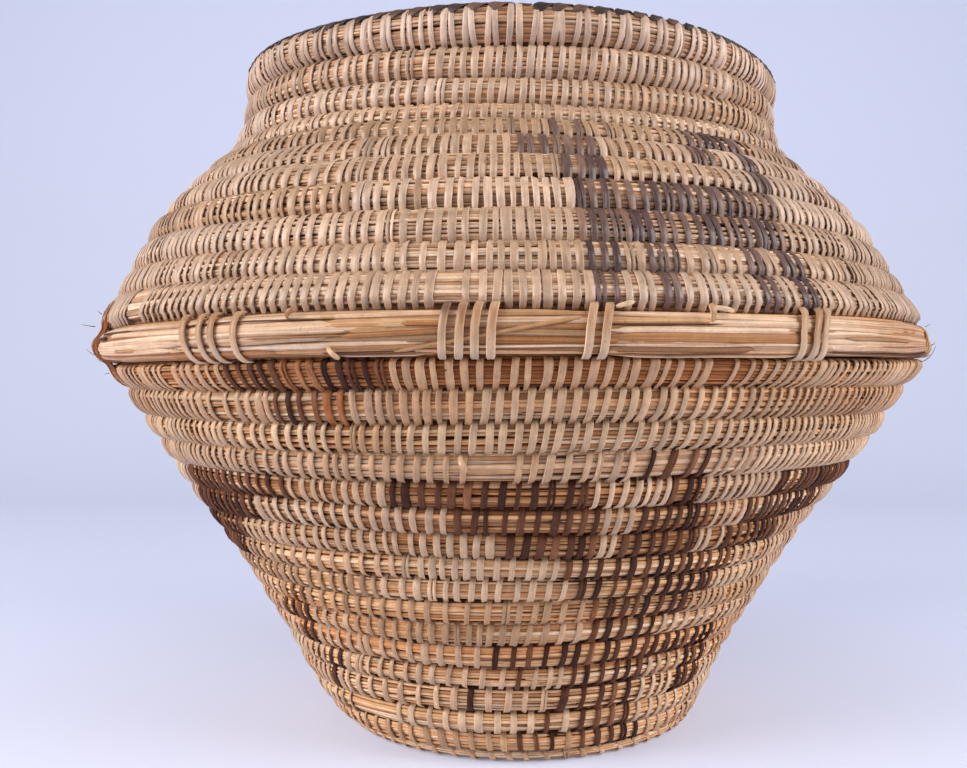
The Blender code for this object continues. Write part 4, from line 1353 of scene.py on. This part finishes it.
def braid_rim(rng):
    """Plait the dark strands over the rim: from outside in, and from inside out."""
    girth = rim.girth(0)
    count = round(girth / BRAID_PITCH)
    along = np.linspace(0.0, 1.0, BRAID_STATIONS)
    starts = (np.arange(count) + rng.normal(0.0, BRAID_PLACE_SPREAD, count)) / count
    worn = (bearing_of(starts) > BRAID_GAP[0]) & (bearing_of(starts) < BRAID_GAP[1])
    starts = starts[~worn] % 1.0
    starts = np.where(starts < CLIMB_SHARE / 2, starts + 1.0, starts)
    left = len(starts)
    growth = np.interp(along, np.linspace(0.0, 1.0, len(BRAID_GROWTHS)), BRAID_GROWTHS)
    rounded = np.sqrt(np.clip(np.sin(math.pi * along) * BRAID_ROUNDING, BRAID_END_SHARE, 1.0))
    braid = Ribbons(SPLINT_PROFILE)
    for angles, shift in ((BRAID_OUTER_ANGLES, 0.0), (BRAID_INNER_ANGLES, 0.5 / count)):
        angle = angles[0] + (angles[1] - angles[0]) * along
        advance = BRAID_ADVANCE * rng.normal(1.0, BRAID_ADVANCE_SPREAD, left) / girth
        turns = starts[:, None] + shift + advance[:, None] * along
        centres, normals = rim.places(turns, angle + rng.normal(0.0, BRAID_ANGLE_SPREAD, (left, 1)), growth)
        widths = BRAID_HALF_WIDTH * rng.normal(1.0, BRAID_WIDTH_SPREAD, (left, 1)) * rounded
        tones = pick_tones(rng, BRAID_TONES, BRAID_CHANCES, left, STRAND_TONE_SPREAD)
        braid.add(centres, normals, widths, STITCH_THICKNESS * rounded, tones[:, None],
                  rng.uniform(size=left))
    return braid


braid_rim(np.random.default_rng(32)).make("rim_braid", BRAID_MATERIAL, ["rim_coil"], "splint")


def wall_point(bearing, radius, height):
    """A point of the basket at a bearing, radius and height."""
    heading = np.radians(bearing - QUARTER_TURN)
    radius, height, heading = np.broadcast_arrays(radius, height, heading)
    return turned(np.stack([radius, height], axis=-1), heading)


def bark_strands(centres, normals, spread, count, half_width, tones, rng):
    """Strands of bark side by side along a path, each wavering a little."""
    ribbons = Ribbons(SPLINT_PROFILE)
    side = unit(np.cross(unit(np.gradient(centres, axis=0)), normals))
    along = np.linspace(0.0, 1.0, len(centres))
    taper = tapered(along, *STRAND_TAPER)
    for k in range(count):
        place = spread * (2 * (k + 0.5) / count - 1)
        waver = np.sin(along * rng.uniform(*STRAND_WAVER_PACES) + rng.uniform(0, math.tau))
        lift = np.sin(along * rng.uniform(*STRAND_LIFT_PACES) + rng.uniform(0, math.tau))
        lift = STRAND_LIFTS[0] * lift + rng.uniform(0.0, STRAND_LIFTS[1])
        strand = centres + side * (place + spread * STRAND_WAVER * waver)[:, None] + normals * lift[:, None]
        tone = pick_tones(rng, *tones, 1, STRAND_TONE_SPREAD)
        ribbons.add(strand[None], normals[None], half_width * rng.uniform(*STRAND_WIDTH_SHARES) * taper,
                    STRAND_THICKNESS * taper, tone, rng.uniform(size=1))
    return ribbons


def bark_strap(rng):
    """Strap of bark over the ring's left joint, with a tail down the wall."""
    turns = turns_at(-JOINT_BEARING)
    above, over, below = (np.linspace(*part) for part in STRAP_PARTS)
    stretches = (upper.places(turns, above, STRAP_WALL_GROWTH), ring.places(turns, over, STRAP_GROWTH),
                 lower.places(turns + LOWER_ROWS - 1, below, STRAP_WALL_GROWTH))
    centres, normals = (np.concatenate(column) for column in zip(*stretches))
    for _ in range(STRAP_SMOOTHINGS):
        for line in (centres, normals):
            line[1:-1] = (line[:-2] + 2 * line[1:-1] + line[2:]) / 4
    return bark_strands(centres, unit(normals), STRAP_HALF_WIDTH, STRAP_STRANDS, STRAP_STRAND_HALF_WIDTH,
                        (BARK_TONES, BARK_CHANCES), rng)


def bark_wrap(rng):
    """Fibres wound round the ring's right joint."""
    angles = np.linspace(WRAP_REACH, -WRAP_REACH, WRAP_STATIONS)
    centres, normals = ring.places(turns_at(JOINT_BEARING), angles, WRAP_GROWTH)
    return bark_strands(centres, normals, WRAP_HALF_WIDTH, WRAP_STRANDS, WRAP_STRAND_HALF_WIDTH,
                        (WRAP_TONES, BROWN_CHANCES), rng)


def stray_hairs(side):
    """Hairs that stand off the bark on one side of the basket."""
    hairs = Ribbons(ROUND_PROFILE)
    along = np.linspace(0.0, 1.0, SHORT_STATIONS)
    taper = HAIR_HALF_WIDTH * np.linspace(*HAIR_WIDTH_SHARES, SHORT_STATIONS)
    for bearing, radius, height, out, up, sideways in HAIRS:
        if bearing * side < 0:
            continue
        outward = wall_point(bearing, 1.0, 0.0)
        tangent = np.array([-outward[1], outward[0], 0.0])
        reach = (outward * out + tangent * sideways) * MILLIMETRE
        strand = wall_point(bearing, radius, height) + reach * along[:, None]
        strand[:, 2] += up * MILLIMETRE * along ** HAIR_BEND
        hairs.add(strand[None], np.broadcast_to(tangent, strand[None].shape), taper, taper,
                  np.array(BARK_TONES[1]), np.array([abs(bearing) / QUARTER_TURN]))
    return hairs


def loose_stubs(rng):
    """Short curled ends of splint that stick out of the sewing."""
    stubs = Ribbons(SPLINT_PROFILE)
    along = np.linspace(0.0, 1.0, SHORT_STATIONS)
    curl = STUB_ARCH * np.sin(math.pi * along) - STUB_ROOT_SINK * (1 - along) ** 2
    taper = np.clip(STUB_END_SHARE + np.minimum(along, 1 - along) * STUB_WIDENING, 0.0, 1.0)
    for first, low, last, high, radius, half_width, shade in STUBS:
        bearing = first + (last - first) * along
        centres = wall_point(bearing, radius + curl, low + (high - low) * along)
        normals = wall_point(bearing + STUB_TWIST * (along - 0.5), 1.0, 0.0)
        stubs.add(centres[None], normals[None], half_width * taper, STITCH_THICKNESS,
                  np.array(SHADES[shade]), rng.uniform(size=1))
    return stubs


bark_strap(np.random.default_rng(33)).make("left_bark_strap", BARK_MATERIAL, ["left_joint_strap"], "bark")
bark_wrap(np.random.default_rng(34)).make("right_bark_wrap", BARK_MATERIAL, ["right_joint_wrap"], "bark")
stray_hairs(-1).make("left_bark_hairs", BARK_MATERIAL, ["left_joint_strap"], "bark")
stray_hairs(1).make("right_bark_hairs", BARK_MATERIAL, ["right_joint_wrap"], "bark")
stubs = loose_stubs(np.random.default_rng(35))
stubs.make("loose_splint_ends", SPLINT_MATERIAL, ["lower_wall_coil"], "splint")


def paper_material():
    """Pale paper, a little brighter in front as painted light, that the camera sees lit a little more
    evenly.
    """
    material, tree, shader = new_material("backdrop_paper")
    place = node(tree, "ShaderNodeTexCoord").outputs["Object"]
    way = node(tree, "ShaderNodeSeparateXYZ", {0: place}).outputs["Y"]
    share = ranged(tree, way, *PAPER_WAY, interpolation_type="SMOOTHSTEP")
    tone = mixed(tree, share, PAPER_NEAR_LIT_TONE, PAPER_FAR_SHADED_TONE)
    tree.links.new(tone, shader.inputs["Base Color"])
    tree.links.new(tone, shader.inputs["Emission Color"])
    seen = node(tree, "ShaderNodeLightPath").outputs["Is Camera Ray"]
    tree.links.new(math_node(tree, "MULTIPLY", seen, PAPER_GLOW), shader.inputs["Emission Strength"])
    shader.inputs["Roughness"].default_value = PAPER_ROUGHNESS
    return material


def paper_sweep():
    """Lay a sheet of paper on the ground and bend it up behind the basket."""
    profile = [(PAPER_FRONT, 0.0), (PAPER_FLAT_END, 0.0)]
    for degrees in range(10, 91, 10):
        angle = math.radians(degrees)
        profile.append((PAPER_FLAT_END + PAPER_BEND * math.sin(angle), PAPER_BEND * (1 - math.cos(angle))))
    profile.append((PAPER_FLAT_END + PAPER_BEND, PAPER_TOP))
    corners = [(x, y, z) for y, z in profile for x in (-PAPER_HALF_WIDTH, PAPER_HALF_WIDTH)]
    faces = [(k, k + 1, k + 3, k + 2) for k in range(0, len(corners) - 2, 2)]
    mesh = bpy.data.meshes.new("paper_sweep")
    mesh.from_pydata(corners, [], faces)
    mesh.polygons.foreach_set("use_smooth", np.ones(len(faces), bool))
    mesh.materials.append(paper_material())
    sheet = bpy.data.objects.new("paper_sweep", mesh)
    bpy.context.collection.objects.link(sheet)


def add_camera():
    """Add the camera where the one that took the picture stood, level, with its frame shifted."""
    data = bpy.data.cameras.new("camera")
    data.sensor_width = SENSOR_WIDTH
    data.lens = SENSOR_WIDTH * FOCAL_PIXELS / IMAGE_WIDTH
    data.shift_x = (IMAGE_WIDTH / 2 - AXIS_COLUMN) / IMAGE_WIDTH
    data.shift_y = (HORIZON_LINE - IMAGE_HEIGHT / 2) / IMAGE_WIDTH
    data.clip_start = CLIP_START
    camera = bpy.data.objects.new("camera", data)
    camera.location = CAMERA_PLACE
    camera.rotation_euler = (math.radians(QUARTER_TURN), 0.0, 0.0)
    bpy.context.collection.objects.link(camera)
    bpy.context.scene.camera = camera


def add_lamp(name, place, power, colour):
    """Add a soft square lamp that faces the middle of the basket."""
    data = bpy.data.lights.new(name, "AREA")
    data.shape = "SQUARE"
    data.size = LAMP_SIZE
    data.energy = power
    data.color = colour
    lamp = bpy.data.objects.new(name, data)
    lamp.location = place
    direction = np.array(LAMP_AIM) - np.array(place)
    lamp.rotation_euler = Vector(direction).to_track_quat("-Z", "Y").to_euler()
    bpy.context.collection.objects.link(lamp)


paper_sweep()
add_camera()
for lamp in LAMPS:
    add_lamp(*lamp)
world = bpy.data.worlds.new("world")
world.use_nodes = True
tree = world.node_tree
seen = node(tree, "ShaderNodeLightPath").outputs["Is Camera Ray"]
tree.links.new(mixed(tree, seen, WORLD_LIGHT, WORLD_SEEN), tree.nodes["Background"].inputs["Color"])
bpy.context.scene.world = world
bpy.context.scene.view_settings.view_transform = "Standard"
